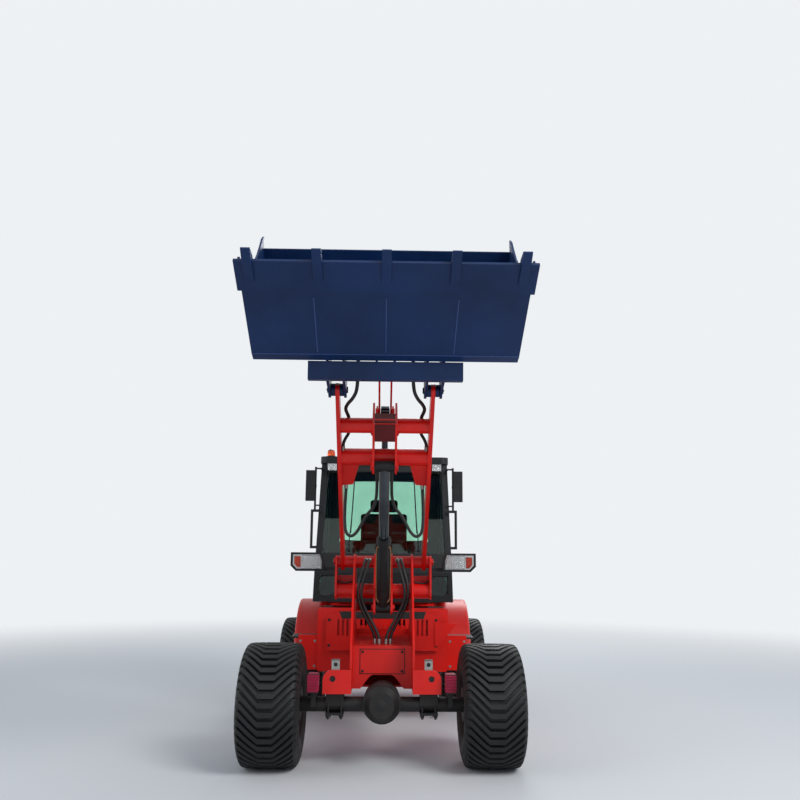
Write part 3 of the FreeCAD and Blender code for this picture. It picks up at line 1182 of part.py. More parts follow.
seat_parts = [
    box("seat_base", ("-170", "170"), ("1720", "2020"), ("cab_floor + cab_wall + 0.3", "1300")),
    box("seat_cushion", ("-240", "240"), ("1640", "2060"), ("1300", "1400")),
    box("seat_back", ("-230", "230"), ("1990", "2090"), ("1360", "1900")),
]
keep(fuse("seat", *seat_parts), "seat")
ring = doc.addObject("Part::Torus", "steering_ring")
bind(ring, "Radius1", "165")
bind(ring, "Radius2", "13")
ring.Placement = Placement(Vector(0, 1455, 1490), Rotation())
wheel_parts = [
    ring,
    rod("steering_hub", "Z", "38", ("0", "1455", "1470"), "36"),
    rod("steering_column", "Z", "40", ("0", "1455", "cab_floor + cab_wall + 0.3"), "440"),
    box("steering_spoke_x", ("-165", "165"), ("1445", "1465"), ("1482", "1496")),
    box("steering_spoke_y", ("-10", "10"), ("1290", "1455"), ("1482", "1496")),
]
keep(fuse("steering_wheel", *wheel_parts), "steering_wheel")


def cab_fittings():
    """Mirrors, grab rails, work lamps: what is bolted on the cab's front."""
    mirrors, rails, lamps = [], [], []
    for side, sign in (("left", 1), ("right", -1)):
        def span(near, far):
            return (near, far) if sign > 0 else ("-(%s)" % far, "-(%s)" % near)
        glass = box("mirror_plate_" + side, span("600", "681"), ("1232", "1262"), ("1832", "2097"))
        arm_x = "600" if sign > 0 else "-600"
        post = rod("mirror_post_" + side, "Z", "9", (arm_x, "1275", "1760"), "370")
        arms = []
        for number, z in enumerate(("1790", "2110")):
            arms.append(box("mirror_arm_%s_%d" % (side, number), span("545", "606"), ("1262", "1282"), (z, z + " + 12")))
            arms.append(box("mirror_root_%s_%d" % (side, number), span("545", "560"), ("1262", "1330"), (z, z + " + 12")))
        clip = box("mirror_clip_" + side, span("590", "640"), ("1255", "1282"), ("1950", "1975"))
        whole = fuse("mirror_solid_" + side, glass, post, clip, *arms)
        mirrors.append(cut("mirror_" + side, whole, cab_shape("mirror_trim_" + side, "-0.3")))
        bar = rod("rail_bar_" + side, "Z", "11", ("620" if sign > 0 else "-620", "1240", "1428"), "331")
        ends = []
        for number, z in enumerate(("1428", "1737")):
            ends.append(box("rail_end_%s_%d" % (side, number), span("545", "620"), ("1229", "1251"), (z, z + " + 22")))
        whole = fuse("rail_solid_" + side, bar, *ends)
        rails.append(cut("rail_grab_" + side, whole, cab_shape("rail_trim_" + side, "-0.3")))
        case = plate("lamp_case_" + side, "Y", "1255", "1300", [
            (a, b) if sign > 0 else ("-" + a, b) for a, b in (("413", "2093"), ("413", "2165"), ("502", "2165"), ("502", "2093"))])
        foot = box("lamp_foot_" + side, span("445", "470"), ("1290", "1330"), ("2120", "2140"))
        whole = fuse("lamp_solid_" + side, case, foot)
        lamps.append(cut("lamp_" + side, whole, cab_shape("lamp_trim_" + side, "-0.3")))
    return solids("mirrors", *mirrors), solids("grab_rails", *rails), solids("work_lamps", *lamps)


for label, piece in zip(("mirrors", "grab_rails", "work_lamps"), cab_fittings()):
    keep(piece, label)
beacon = [
    rod("beacon_foot", "Z", "42", ("-480", "1440", "cab_top + roof_thick + 0.3"), "20"),
    rod("beacon_dome", "Z", "36", ("-480", "1440", "cab_top + roof_thick + 20"), "60"),
]
keep(fuse("beacon", *beacon), "beacon")


# Hood, hinged across its front top edge, open below and short in front

def hood():
    side = [("hood_front", "hood_low"), ("hood_front", "hood_high"), ("rear_end - weight_length - 110", "hood_high - 30"),
            ("rear_end - weight_length", "hood_high - 170"), ("rear_end - weight_length", "hood_low")]
    outer = plate("hood_outer", "X", "-hood_half", "hood_half", side, (), ((2, "120"),))
    room = [("hood_front - 10", "hood_low - 20"), ("hood_front - 10", "hood_high - 100"), ("hood_front + hood_wall", "hood_high - 100"),
            ("hood_front + hood_wall", "hood_high - hood_wall"), ("rear_end - weight_length - 120", "hood_high - 30 - hood_wall"),
            ("rear_end - weight_length - hood_wall", "hood_high - 180"), ("rear_end - weight_length - hood_wall", "hood_low - 20")]
    inner = plate("hood_inner", "X", "-hood_half + hood_wall", "hood_half - hood_wall", room)
    vents = []
    for number in range(6):
        z = "hood_high - 330 + %d" % (34 * number)
        vents.append(box("hood_louvre_%d" % number, ("-hood_half - 10", "hood_half + 10"), ("hood_front + 330", "hood_front + 600"),
                         (z, z + " + 14")))
        vents.append(box("hood_slot_%d" % number, ("-hood_half + 130", "hood_half - 130"),
                         ("rear_end - weight_length - 60", "rear_end - weight_length + 10"), ("hood_low + 40 + %d" % (40 * number), "hood_low + 58 + %d" % (40 * number))))
    shell = cut("hood_shell", outer, inner, *vents)
    knuckles = []
    for number, x in enumerate(("-300", "220")):
        knuckles.append(cross_rod("hood_knuckle_%d" % number, "14", "hood_front", "hood_high + 20", x, x + " + 80"))
        knuckles.append(box("hood_knuckle_foot_%d" % number, (x, x + " + 80"), ("hood_front", "hood_front + 30"), ("hood_high - 10", "hood_high + 20")))
    whole = fuse("hood_solid", shell, *knuckles)
    bore = cross_rod("hood_bore", "8.3", "hood_front", "hood_high + 20", "-400", "400")
    return cut("hood", whole, bore)


keep(hood(), "hood")
hinge = []
for number, x in enumerate(("-300", "220")):
    hinge.append(cross_rod("hood_pin_%d" % number, "8", "hood_front", "hood_high + 20", x + " - 14", x + " + 94"))
    for end, offset in enumerate(("-14", "82")):
        hinge.append(box("hood_lug_%d_%d" % (number, end), ("%s + %s" % (x, offset), "%s + %s + 12" % (x, offset)),
                         ("hood_front - 24", "hood_front + 10"), ("hood_high + 4", "hood_high + 34")))
        hinge.append(box("hood_stem_%d_%d" % (number, end), ("%s + %s" % (x, offset), "%s + %s + 12" % (x, offset)),
                         ("hood_front - 24", "hood_front - 9.7"), ("hood_high - 49.7", "hood_high + 10")))
keep(fuse("hood_hinge", *hinge), "hood_hinge")
pipe = rod("exhaust_pipe", "Z", "27", ("-475", "2500", "hood_low - 3"), "820")
foot = box("exhaust_foot", ("-520", "-hood_half - 0.3"), ("2450", "2550"), ("hood_low - 18", "hood_low - 3"))
keep(fuse("exhaust", pipe, foot), "exhaust")

# Check every feature, then move the pieces together onto the shared origin

doc.recompute()
failed = [piece.Name for piece in doc.Objects if "Invalid" in piece.State or "Error" in piece.State]
if failed:
    raise RuntimeError("not made: " + ", ".join(failed))
whole_box = FreeCAD.BoundBox()
for label, piece in nodes.items():
    if not piece.Shape.isValid() or not piece.Shape.Solids:
        raise RuntimeError("bad shape: " + label)
    whole_box.add(piece.Shape.BoundBox)
shift = Vector(-whole_box.Center.x, -whole_box.Center.y, -whole_box.ZMin)
os.makedirs("parts", exist_ok=True)
for label, piece in nodes.items():
    piece.Placement = Placement(piece.Placement.Base + shift, piece.Placement.Rotation)
doc.recompute()
for label, piece in nodes.items():
    piece.Shape.exportStep("parts/%s.step" % label)
print("shift %.3f %.3f %.3f" % tuple(shift))
print("size %.1f %.1f %.1f" % (whole_box.XLength, whole_box.YLength, whole_box.ZLength))
for name, point in (("pivot", PIVOT), ("hinge", HINGE), ("lift base", LIFT_BASE), ("lift eye", LIFT_EYE),
                    ("rocker", ROCKER), ("rocker top", ROCKER_TOP), ("link front", LINK_FRONT)):
    print("%s %.3f %.3f %.3f" % ((name,) + tuple(point + shift)))
print("slopes lift %.4f tilt %.4f link %.4f" % (LIFT_SLOPE, TILT_SLOPE, upward(ROCKER_TOP, LINK_FRONT)))
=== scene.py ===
"""Compact wheel loader: finishes, lamps, tyres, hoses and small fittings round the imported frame."""
import json
import math

import bmesh
import bpy
import numpy as np
from mathutils import Matrix, Vector, geometry


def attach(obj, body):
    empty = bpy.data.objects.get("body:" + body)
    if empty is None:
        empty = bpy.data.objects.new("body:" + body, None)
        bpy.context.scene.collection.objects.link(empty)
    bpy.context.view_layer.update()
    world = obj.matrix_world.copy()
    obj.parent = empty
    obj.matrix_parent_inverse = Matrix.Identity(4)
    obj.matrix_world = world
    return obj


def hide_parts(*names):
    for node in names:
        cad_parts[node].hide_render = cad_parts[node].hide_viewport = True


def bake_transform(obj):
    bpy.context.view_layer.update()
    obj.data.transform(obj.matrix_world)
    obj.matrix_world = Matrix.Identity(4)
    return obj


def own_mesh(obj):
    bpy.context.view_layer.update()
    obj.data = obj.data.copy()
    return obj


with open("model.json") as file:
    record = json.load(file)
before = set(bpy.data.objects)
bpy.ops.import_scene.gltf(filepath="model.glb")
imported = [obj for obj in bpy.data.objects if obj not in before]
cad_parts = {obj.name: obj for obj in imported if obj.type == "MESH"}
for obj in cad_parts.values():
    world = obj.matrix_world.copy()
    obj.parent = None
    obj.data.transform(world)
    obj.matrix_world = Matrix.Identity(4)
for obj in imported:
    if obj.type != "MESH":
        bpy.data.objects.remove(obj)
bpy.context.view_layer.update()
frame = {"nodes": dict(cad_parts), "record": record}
context = bpy.context


# Node helpers

def linear(code):
    """An sRGB hex value as the linear colour that the shaders take."""
    parts = [int(code[k:k + 2], 16) / 255 for k in (1, 3, 5)]
    return [c / 12.92 if c <= 0.04045 else ((c + 0.055) / 1.055) ** 2.4 for c in parts] + [1.0]


def add(tree, kind, values=None, links=None, **settings):
    """A node of that kind, with its settings, socket values and links."""
    made = tree.nodes.new(kind)
    for name, value in settings.items():
        setattr(made, name, value)
    for socket, value in (values or {}).items():
        made.inputs[socket].default_value = value
    for socket, source in (links or {}).items():
        tree.links.new(source, made.inputs[socket])
    return made


def stops(node, *pairs):
    """The ramp's positions and colours."""
    ramp = node.color_ramp
    while len(ramp.elements) < len(pairs):
        ramp.elements.new(0.5)
    for element, (where, colour) in zip(ramp.elements, pairs):
        element.position = where
        element.color = colour
    return node


def surface(name, main, second, patch=3.0, grain=90.0, rough=(0.3, 0.5), bump=0.0004, metallic=0.0,
            coat=0.0, coat_rough=0.1, dust=None, dust_amount=0.0, low=0.0, stretch=(1, 1, 1), ior=1.5):
    """A finish with slow patches, a fine grain, dust in blotches that thickens towards the ground, and relief."""
    material = bpy.data.materials.new(name)
    material.use_nodes = True
    tree = material.node_tree
    tree.nodes.clear()
    place = add(tree, "ShaderNodeTexCoord")
    turned = add(tree, "ShaderNodeMapping", {"Scale": stretch}, {"Vector": place.outputs["Object"]})
    slow = add(tree, "ShaderNodeTexNoise", {"Scale": patch, "Detail": 5.0, "Roughness": 0.55},
               {"Vector": turned.outputs["Vector"]})
    fine = add(tree, "ShaderNodeTexNoise", {"Scale": grain, "Detail": 3.0, "Roughness": 0.6},
               {"Vector": turned.outputs["Vector"]})
    shade = stops(add(tree, "ShaderNodeValToRGB", links={"Fac": slow.outputs["Fac"]}),
                  (0.34, linear(main)), (0.72, linear(second)))
    colour = shade.outputs["Color"]
    spread = add(tree, "ShaderNodeMapRange",
                 {"From Min": 0.3, "From Max": 0.7, "To Min": rough[0], "To Max": rough[1]},
                 {"Value": slow.outputs["Fac"]})
    roughness = spread.outputs["Result"]
    if dust:
        speck = add(tree, "ShaderNodeTexNoise", {"Scale": patch * 4.3, "Detail": 8.0, "Roughness": 0.68},
                    {"Vector": place.outputs["Object"]})
        height = add(tree, "ShaderNodeSeparateXYZ", links={"Vector": place.outputs["Object"]})
        ground = add(tree, "ShaderNodeMapRange", {"From Min": 0.0, "From Max": 1.2, "To Min": low, "To Max": 0.0},
                     {"Value": height.outputs["Z"]})
        cover = add(tree, "ShaderNodeMapRange",
                    {"From Min": 0.42, "From Max": 0.78, "To Min": 0.0, "To Max": dust_amount},
                    {"Value": speck.outputs["Fac"]})
        amount = add(tree, "ShaderNodeMath", links={0: cover.outputs["Result"], 1: ground.outputs["Result"]},
                     operation="ADD", use_clamp=True)
        dusty = add(tree, "ShaderNodeMix", {"B": linear(dust)},
                    {"Factor": amount.outputs["Value"], "A": colour}, data_type="RGBA")
        colour = dusty.outputs["Result"]
        dull = add(tree, "ShaderNodeMath", {1: 0.5}, {0: amount.outputs["Value"], 2: roughness},
                   operation="MULTIPLY_ADD", use_clamp=True)
        roughness = dull.outputs["Value"]
    relief = add(tree, "ShaderNodeBump", {"Strength": 0.6, "Distance": bump}, {"Height": fine.outputs["Fac"]})
    values = {"Metallic": metallic, "IOR": ior, "Coat Weight": coat, "Coat Roughness": coat_rough}
    shader = add(tree, "ShaderNodeBsdfPrincipled", values,
                 {"Base Color": colour, "Roughness": roughness, "Normal": relief.outputs["Normal"]})
    add(tree, "ShaderNodeOutputMaterial", links={"Surface": shader.outputs["BSDF"]})
    return material


def clear(name, tint, rough, ior, streak=0.0, ribs=0.0):
    """Glass or a clear moulding, faintly smeared, with optional upright ribs as a lamp's lens has."""
    material = bpy.data.materials.new(name)
    material.use_nodes = True
    tree = material.node_tree
    tree.nodes.clear()
    place = add(tree, "ShaderNodeTexCoord")
    film = add(tree, "ShaderNodeTexNoise", {"Scale": 5.0, "Detail": 6.0, "Roughness": 0.7},
               {"Vector": place.outputs["Object"]})
    soft = add(tree, "ShaderNodeMapRange",
               {"From Min": 0.4, "From Max": 0.75, "To Min": rough, "To Max": rough + streak},
               {"Value": film.outputs["Fac"]})
    shade = stops(add(tree, "ShaderNodeValToRGB", links={"Fac": film.outputs["Fac"]}),
                  (0.3, linear(tint)), (0.8, [min(1.0, c * 1.12) for c in linear(tint)[:3]] + [1.0]))
    values = {"IOR": ior, "Transmission Weight": 1.0}
    links = {"Base Color": shade.outputs["Color"], "Roughness": soft.outputs["Result"]}
    if ribs:
        wave = add(tree, "ShaderNodeTexWave", {"Scale": ribs}, {"Vector": place.outputs["Object"]},
                   wave_type="BANDS", bands_direction="X", wave_profile="SIN")
        relief = add(tree, "ShaderNodeBump", {"Strength": 0.8, "Distance": 0.002}, {"Height": wave.outputs["Fac"]})
        links["Normal"] = relief.outputs["Normal"]
    shader = add(tree, "ShaderNodeBsdfPrincipled", values, links)
    add(tree, "ShaderNodeOutputMaterial", links={"Surface": shader.outputs["BSDF"]})
    return material


# Finishes. The two numbers after the colours are the scale of the slow patches and of the fine grain.
# Grains below a millimetre are drawn coarser than real, so that they show from the camera's distance.

# Enamel sprayed on plate: deep gloss under a thin clear film, a faint orange peel and road dust low down
red_enamel = surface("red_enamel", "#DF1408", "#C60E07", 2.4, 160, (0.32, 0.46), 0.00025, coat=0.12,
                     coat_rough=0.2, dust="#9A3A22", dust_amount=0.08, low=0.06, ior=1.38)
# The same enamel darkened to a deep, half matt red: painted shade for plates that sit in shadow between bright ones
dark_red_enamel = surface("dark_red_enamel", "#5C0A10", "#43070C", 2.4, 160, (0.4, 0.55), 0.00025, ior=1.38,
                          dust="#5A2A24", dust_amount=0.12)
# Caliper enamel: a cool crimson over a cast skin, dulled by brake dust
crimson_enamel = surface("crimson_enamel", "#A40C3C", "#860A30", 6.0, 240, (0.4, 0.55), 0.0004, ior=1.4,
                         dust="#7A4A48", dust_amount=0.15)
# Navy enamel on boom and bucket: soft gloss in broad patches, with a paler film of dust
navy_enamel = surface("navy_enamel", "#082A5A", "#052044", 1.7, 120, (0.4, 0.56), 0.0004, coat=0.06,
                      coat_rough=0.3, dust="#2C456C", dust_amount=0.12, ior=1.33)
# Satin enamel on chassis parts and axles: half matt, with dust in its pits
black_enamel = surface("black_enamel", "#131416", "#0C0D0E", 5.0, 200, (0.42, 0.6), 0.0005,
                       dust="#4A443E", dust_amount=0.16, low=0.10, ior=1.4)
# Powder coat on the cab: fine texture that spreads the light
cab_coat = surface("cab_powder_coat", "#0F1316", "#0A0D0F", 4.0, 420, (0.44, 0.5), 0.0004, dust="#2A2E2E",
                   dust_amount=0.05, ior=1.4)
# Moulded ABS: a leather-like grain and soft sheen
moulded_abs = surface("moulded_abs", "#0F1215", "#0B0D10", 8.0, 500, (0.54, 0.68), 0.0006, dust="#4A4845",
                      dust_amount=0.08, ior=1.4)
# Chromed piston rod: dark mirror with a trace of oil
chromed_steel = surface("chromed_steel", "#4E5256", "#3A3D41", 6.0, 60, (0.12, 0.24), 0.0001, metallic=1.0,
                        stretch=(1, 1, 0.3))
# Zinc plate on bolts and ferrules: dull silver, faintly spangled, with a warm bloom of dirt
zinc_steel = surface("zinc_plated_steel", "#A9ABA8", "#8E8F8B", 30.0, 400, (0.3, 0.5), 0.0003, metallic=1.0,
                     dust="#7A6A55", dust_amount=0.2)
# Sand-cast iron: grey, rough and dry, with dust held in its skin
cast_iron = surface("cast_iron", "#3A3B3D", "#2C2D2F", 14.0, 300, (0.55, 0.75), 0.0009, metallic=0.3,
                    dust="#7B6650", dust_amount=0.25)
# Exhaust steel after heat: brown scale over grey
scaled_steel = surface("heat_scaled_steel", "#5B4B41", "#3A332F", 9.0, 200, (0.5, 0.8), 0.0008, metallic=0.8)
# Tyre rubber: carbon black, matt, paler where road dust sits
tyre_rubber = surface("tyre_rubber", "#0D0F12", "#08090B", 7.0, 260, (0.5, 0.68), 0.0009, dust="#2F2E2D",
                      dust_amount=0.14, low=0.10, ior=1.45)
# Hose cover: smooth extruded rubber, slightly shiny along its bends
hose_rubber = surface("hose_rubber", "#101112", "#0A0B0C", 20.0, 600, (0.5, 0.66), 0.0005, dust="#3A3632",
                      dust_amount=0.10)
# Extruded seal rubber: flat black that takes the light off a pane's edge
seal_rubber = surface("seal_rubber", "#151617", "#0F1011", 12.0, 400, (0.6, 0.75), 0.0004)
# Vinyl seat cover: embossed grain, slightly shiny on the crown
seat_vinyl = surface("seat_vinyl", "#0E1116", "#0A0C10", 12.0, 700, (0.62, 0.76), 0.0008, ior=1.36)
# Weld bead under navy enamel: ripples that catch small lights
weld_bead = surface("painted_weld_bead", "#1A4080", "#12336B", 40.0, 900, (0.3, 0.45), 0.001, coat=0.3)
# Tan hydraulic pipe beside the lift barrel, yellow-passivated zinc
tan_pipe = surface("passivated_pipe", "#B98A5E", "#8F6A48", 20.0, 300, (0.3, 0.5), 0.0003, metallic=0.6)
# Vapour-coated bowl of a lamp: bright and almost smooth
reflector = surface("lamp_reflector", "#D9DCDD", "#C3C7C9", 20.0, 300, (0.12, 0.22), 0.0002, metallic=1.0)
# Silver lacquer on the lamps' bezels: pale grey with a fine metal fleck
silver_paint = surface("silver_paint", "#B9BCBC", "#9EA1A2", 16.0, 300, (0.35, 0.5), 0.0003, metallic=0.6)
# Silvered glass: a plain mirror
mirror_glass = surface("mirror_glass", "#C9CED2", "#B9BFC4", 3.0, 40, (0.03, 0.08), 0.00005, metallic=1.0)
# Float glass tinted green in the melt, lighter in the doors and screens and darker in the low panes
green_glass = clear("green_tinted_glass", "#C2E6D6", 0.01, 1.45, 0.04)
dark_glass = clear("dark_tinted_glass", "#4C8C7C", 0.02, 1.45, 0.06)
# Moulded acrylic lenses: clear, orange and red, with upright ribs that break up what is behind them
clear_lens = clear("clear_lens", "#F2F4F5", 0.03, 1.49, 0.03, ribs=70.0)
orange_lens = clear("orange_lens", "#FF5A10", 0.08, 1.49, 0.05, ribs=60.0)
red_lens = clear("red_lens", "#E0200F", 0.08, 1.49, 0.05, ribs=60.0)


# Mesh helpers

def finish_mesh(name, mesh, material, body, smooth=35.0):
    """The mesh as a piece on a body, faces outwards, shaded smooth up to an angle."""
    work = bmesh.new()
    work.from_mesh(mesh)
    bmesh.ops.remove_doubles(work, verts=work.verts, dist=0.00002)
    bmesh.ops.recalc_face_normals(work, faces=work.faces)
    for face in work.faces:
        face.smooth = smooth > 0
    for edge in work.edges:
        edge.smooth = len(edge.link_faces) == 2 and edge.calc_face_angle(0.0) < math.radians(smooth)
    work.to_mesh(mesh)
    work.free()
    mesh.name = name
    piece = bpy.data.objects.new(name, mesh)
    context.scene.collection.objects.link(piece)
    mesh.materials.clear()
    mesh.materials.append(material)
    if body:
        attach(piece, body)
    return piece


def raw_mesh(points, faces):
    """A plain mesh from points and faces."""
    mesh = bpy.data.meshes.new("raw")
    mesh.from_pydata([tuple(p) for p in points], [], faces)
    return mesh


def joined(*meshes):
    """Several meshes in one."""
    points, faces = [], []
    for mesh in meshes:
        first = len(points)
        points += [tuple(v.co) for v in mesh.vertices]
        faces += [[first + k for k in face.vertices] for face in mesh.polygons]
    return raw_mesh(points, faces)


def slab(outline, low, high, axis, chamfer=0.002):
    """A plate with that outline between two places on an axis, its rims chamfered."""
    count = len(outline)
    around = {"X": (1, 2, 0), "Y": (0, 2, 1), "Z": (0, 1, 2)}[axis]
    centre = [sum(p[k] for p in outline) / count for k in (0, 1)]
    reach = [max(abs(p[k] - centre[k]) for p in outline) or 1 for k in (0, 1)]
    inset = [[centre[k] + (p[k] - centre[k]) * (1 - chamfer / reach[k]) for k in (0, 1)] for p in outline]
    points = []
    for ring, level in ((inset, low), (outline, low + chamfer), (outline, high - chamfer), (inset, high)):
        for p in ring:
            spot = [0.0, 0.0, 0.0]
            spot[around[0]], spot[around[1]], spot[around[2]] = p[0], p[1], level
            points.append(spot)
    faces = [list(range(count))[::-1], list(range(3 * count, 4 * count))]
    for ring in range(3):
        for k in range(count):
            n = (k + 1) % count
            faces.append([ring * count + k, ring * count + n, (ring + 1) * count + n, (ring + 1) * count + k])
    return raw_mesh(points, faces)


def block(low, high, chamfer=0.002):
    """A box between two corners, chamfered at its lower and upper rims."""
    outline = [(low[0], low[1]), (high[0], low[1]), (high[0], high[1]), (low[0], high[1])]
    return slab(outline, low[2], high[2], "Z", min(chamfer, (high[2] - low[2]) / 3))


def lathe(profile, start, along, count=48, closed=False):
    """The profile of (along, radius) pairs turned round the line from start."""
    along = Vector(along).normalized()
    side = along.orthogonal().normalized()
    up = along.cross(side)
    points, faces = [], []
    for where, radius in profile:
        for k in range(count):
            turn = math.tau * k / count
            points.append(Vector(start) + along * where + (side * math.cos(turn) + up * math.sin(turn)) * radius)
    rows = len(profile)
    for row in range(rows if closed else rows - 1):
        after = (row + 1) % rows
        for k in range(count):
            n = (k + 1) % count
            faces.append([row * count + k, row * count + n, after * count + n, after * count + k])
    if not closed:
        faces.append(list(range(count))[::-1])
        faces.append([(rows - 1) * count + k for k in range(count)])
    return raw_mesh(points, faces)


def line(name, points, radius, material=None, closed=False, detail=4):
    """A curve through control points: a NURBS spline of order 3 with a round section."""
    curve = bpy.data.curves.new(name, "CURVE")
    curve.dimensions = "3D"
    curve.bevel_depth = radius
    curve.bevel_resolution = detail
    curve.resolution_u = 10
    curve.use_fill_caps = not closed
    spline = curve.splines.new("NURBS")
    spline.points.add(len(points) - 1)
    for point, place in zip(spline.points, points):
        point.co = (*place, 1.0)
    spline.order_u = 3
    spline.use_endpoint_u = not closed
    spline.use_cyclic_u = closed
    if material:
        curve.materials.append(material)
    made = bpy.data.objects.new(name, curve)
    context.scene.collection.objects.link(made)
    return made


def as_mesh(thing):
    """The shown mesh of a curve or a modified object, which is then removed."""
    context.view_layer.update()
    seen = thing.evaluated_get(context.evaluated_depsgraph_get())
    mesh = bpy.data.meshes.new_from_object(seen)
    bpy.data.objects.remove(thing)
    return mesh


def tube(points, radius, closed=False, detail=4):
    """A bent tube as a plain mesh."""
    return as_mesh(line("tube", points, radius, closed=closed, detail=detail))


def straight(points, near=0.004):
    """Control points that keep the runs straight and round only the corners."""
    route = [Vector(p) for p in points]
    full = [route[0]]
    for k in range(1, len(route) - 1):
        for other in (route[k - 1], route[k + 1]):
            step = (other - route[k]).normalized() * near
            full.append(route[k] + step)
    full.append(route[-1])
    return full


def landing(node, start, direction):
    """Where a line first meets a CAD node, and the face's direction there."""
    hit, place, normal, _ = frame["nodes"][node].ray_cast(Vector(start), Vector(direction).normalized())
    if not hit:
        return None
    if normal.dot(Vector(direction)) > 0:
        normal = -normal
    return place, normal


# Trees of geometry nodes

def input_socket(tree, name, kind, value=None):
    """A named input of a tree."""
    made = tree.interface.new_socket(name=name, in_out="INPUT", socket_type="NodeSocket" + kind)
    if value is not None:
        made.default_value = value
    return made


def new_tree(name, *sockets):
    """A tree with its geometry input and output, its named inputs, and what they give."""
    tree = bpy.data.node_groups.new(name, "GeometryNodeTree")
    tree.interface.new_socket(name="Geometry", in_out="OUTPUT", socket_type="NodeSocketGeometry")
    input_socket(tree, "Geometry", "Geometry")
    for label, kind, value in sockets:
        input_socket(tree, label, kind, value)
    return tree, add(tree, "NodeGroupInput").outputs


def run_tree(tree, mesh, name, material, body, slot=None, smooth=35.0, **sizes):
    """The tree's result on that mesh as a plain piece."""
    carrier = bpy.data.objects.new(name + "_points", mesh)
    context.scene.collection.objects.link(carrier)
    modifier = carrier.modifiers.new("repeat", "NODES")
    modifier.node_group = tree
    for item in tree.interface.items_tree:
        if item.item_type == "SOCKET" and item.in_out == "INPUT":
            if item.name == "Material":
                modifier[item.identifier] = material
            elif item.name.replace(" ", "_").lower() in sizes:
                modifier[item.identifier] = sizes[item.name.replace(" ", "_").lower()]
    return finish_mesh(name, as_mesh(carrier), material, body, smooth)


def hex_bolt_tree():
    """A hexagon head on a washer at each point, turned by the point's own angles."""
    tree, given = new_tree("hex_bolts", ("Head Radius", "Float", 0.009), ("Head Height", "Float", 0.006),
                           ("Material", "Material", None))
    head = add(tree, "GeometryNodeMeshCylinder", {"Vertices": 6},
               {"Radius": given["Head Radius"], "Depth": given["Head Height"]}, fill_type="NGON")
    wide = add(tree, "ShaderNodeMath", {1: 1.5}, {0: given["Head Radius"]}, operation="MULTIPLY")
    thin = add(tree, "ShaderNodeMath", {1: 0.3}, {0: given["Head Height"]}, operation="MULTIPLY")
    washer = add(tree, "GeometryNodeMeshCylinder", {"Vertices": 20},
                 {"Radius": wide.outputs["Value"], "Depth": thin.outputs["Value"]}, fill_type="NGON")
    rise = add(tree, "ShaderNodeMath", {1: 0.75}, {0: given["Head Height"]}, operation="MULTIPLY")
    lift = add(tree, "ShaderNodeCombineXYZ", links={"Z": rise.outputs["Value"]})
    raised = add(tree, "GeometryNodeTransform", links={"Geometry": head.outputs["Mesh"],
                                                       "Translation": lift.outputs["Vector"]})
    both = add(tree, "GeometryNodeJoinGeometry", links={"Geometry": raised.outputs["Geometry"]})
    tree.links.new(washer.outputs["Mesh"], both.inputs["Geometry"])
    angles = add(tree, "GeometryNodeInputNamedAttribute", {"Name": "turn"}, data_type="FLOAT_VECTOR")
    spread = add(tree, "GeometryNodeInstanceOnPoints",
                 links={"Points": given["Geometry"], "Instance": both.outputs["Geometry"],
                        "Rotation": angles.outputs["Attribute"]})
    real = add(tree, "GeometryNodeRealizeInstances", links={"Geometry": spread.outputs["Instances"]})
    dress = add(tree, "GeometryNodeSetMaterial", links={"Geometry": real.outputs["Geometry"],
                                                        "Material": given["Material"]})
    add(tree, "NodeGroupOutput", links={"Geometry": dress.outputs["Geometry"]})
    return tree


def ring_tree():
    """The mesh repeated in a ring round the X axis."""
    tree, given = new_tree("ring_round_x", ("Count", "Int", 36), ("Material", "Material", None))
    points = add(tree, "GeometryNodeMeshLine", {"Offset": (0.0, 0.0, 0.0)}, {"Count": given["Count"]})
    index = add(tree, "GeometryNodeInputIndex")
    share = add(tree, "ShaderNodeMath", links={0: index.outputs["Index"], 1: given["Count"]}, operation="DIVIDE")
    turn = add(tree, "ShaderNodeMath", {1: math.tau}, {0: share.outputs["Value"]}, operation="MULTIPLY")
    angles = add(tree, "ShaderNodeCombineXYZ", links={"X": turn.outputs["Value"]})
    spread = add(tree, "GeometryNodeInstanceOnPoints",
                 links={"Points": points.outputs["Mesh"], "Instance": given["Geometry"],
                        "Rotation": angles.outputs["Vector"]})
    real = add(tree, "GeometryNodeRealizeInstances", links={"Geometry": spread.outputs["Instances"]})
    dress = add(tree, "GeometryNodeSetMaterial", links={"Geometry": real.outputs["Geometry"],
                                                        "Material": given["Material"]})
    add(tree, "NodeGroupOutput", links={"Geometry": dress.outputs["Geometry"]})
    return tree


def row_tree():
    """The mesh repeated along a line, as ribs, studs and slats are."""
    tree, given = new_tree("row_of_ribs", ("Count", "Int", 5), ("Step", "Vector", (0.0, 0.0, 0.01)),
                           ("Material", "Material", None))
    points = add(tree, "GeometryNodeMeshLine", links={"Count": given["Count"], "Offset": given["Step"]})
    spread = add(tree, "GeometryNodeInstanceOnPoints",
                 links={"Points": points.outputs["Mesh"], "Instance": given["Geometry"]})
    real = add(tree, "GeometryNodeRealizeInstances", links={"Geometry": spread.outputs["Instances"]})
    dress = add(tree, "GeometryNodeSetMaterial", links={"Geometry": real.outputs["Geometry"],
                                                        "Material": given["Material"]})
    add(tree, "NodeGroupOutput", links={"Geometry": dress.outputs["Geometry"]})
    return tree


hex_bolts = hex_bolt_tree()
ring_round_x = ring_tree()
row_of_ribs = row_tree()


def landings(places):
    """Where lines meet CAD nodes, for those that do: places are (node, start, direction)."""
    return [found for found in (landing(*place) for place in places) if found]


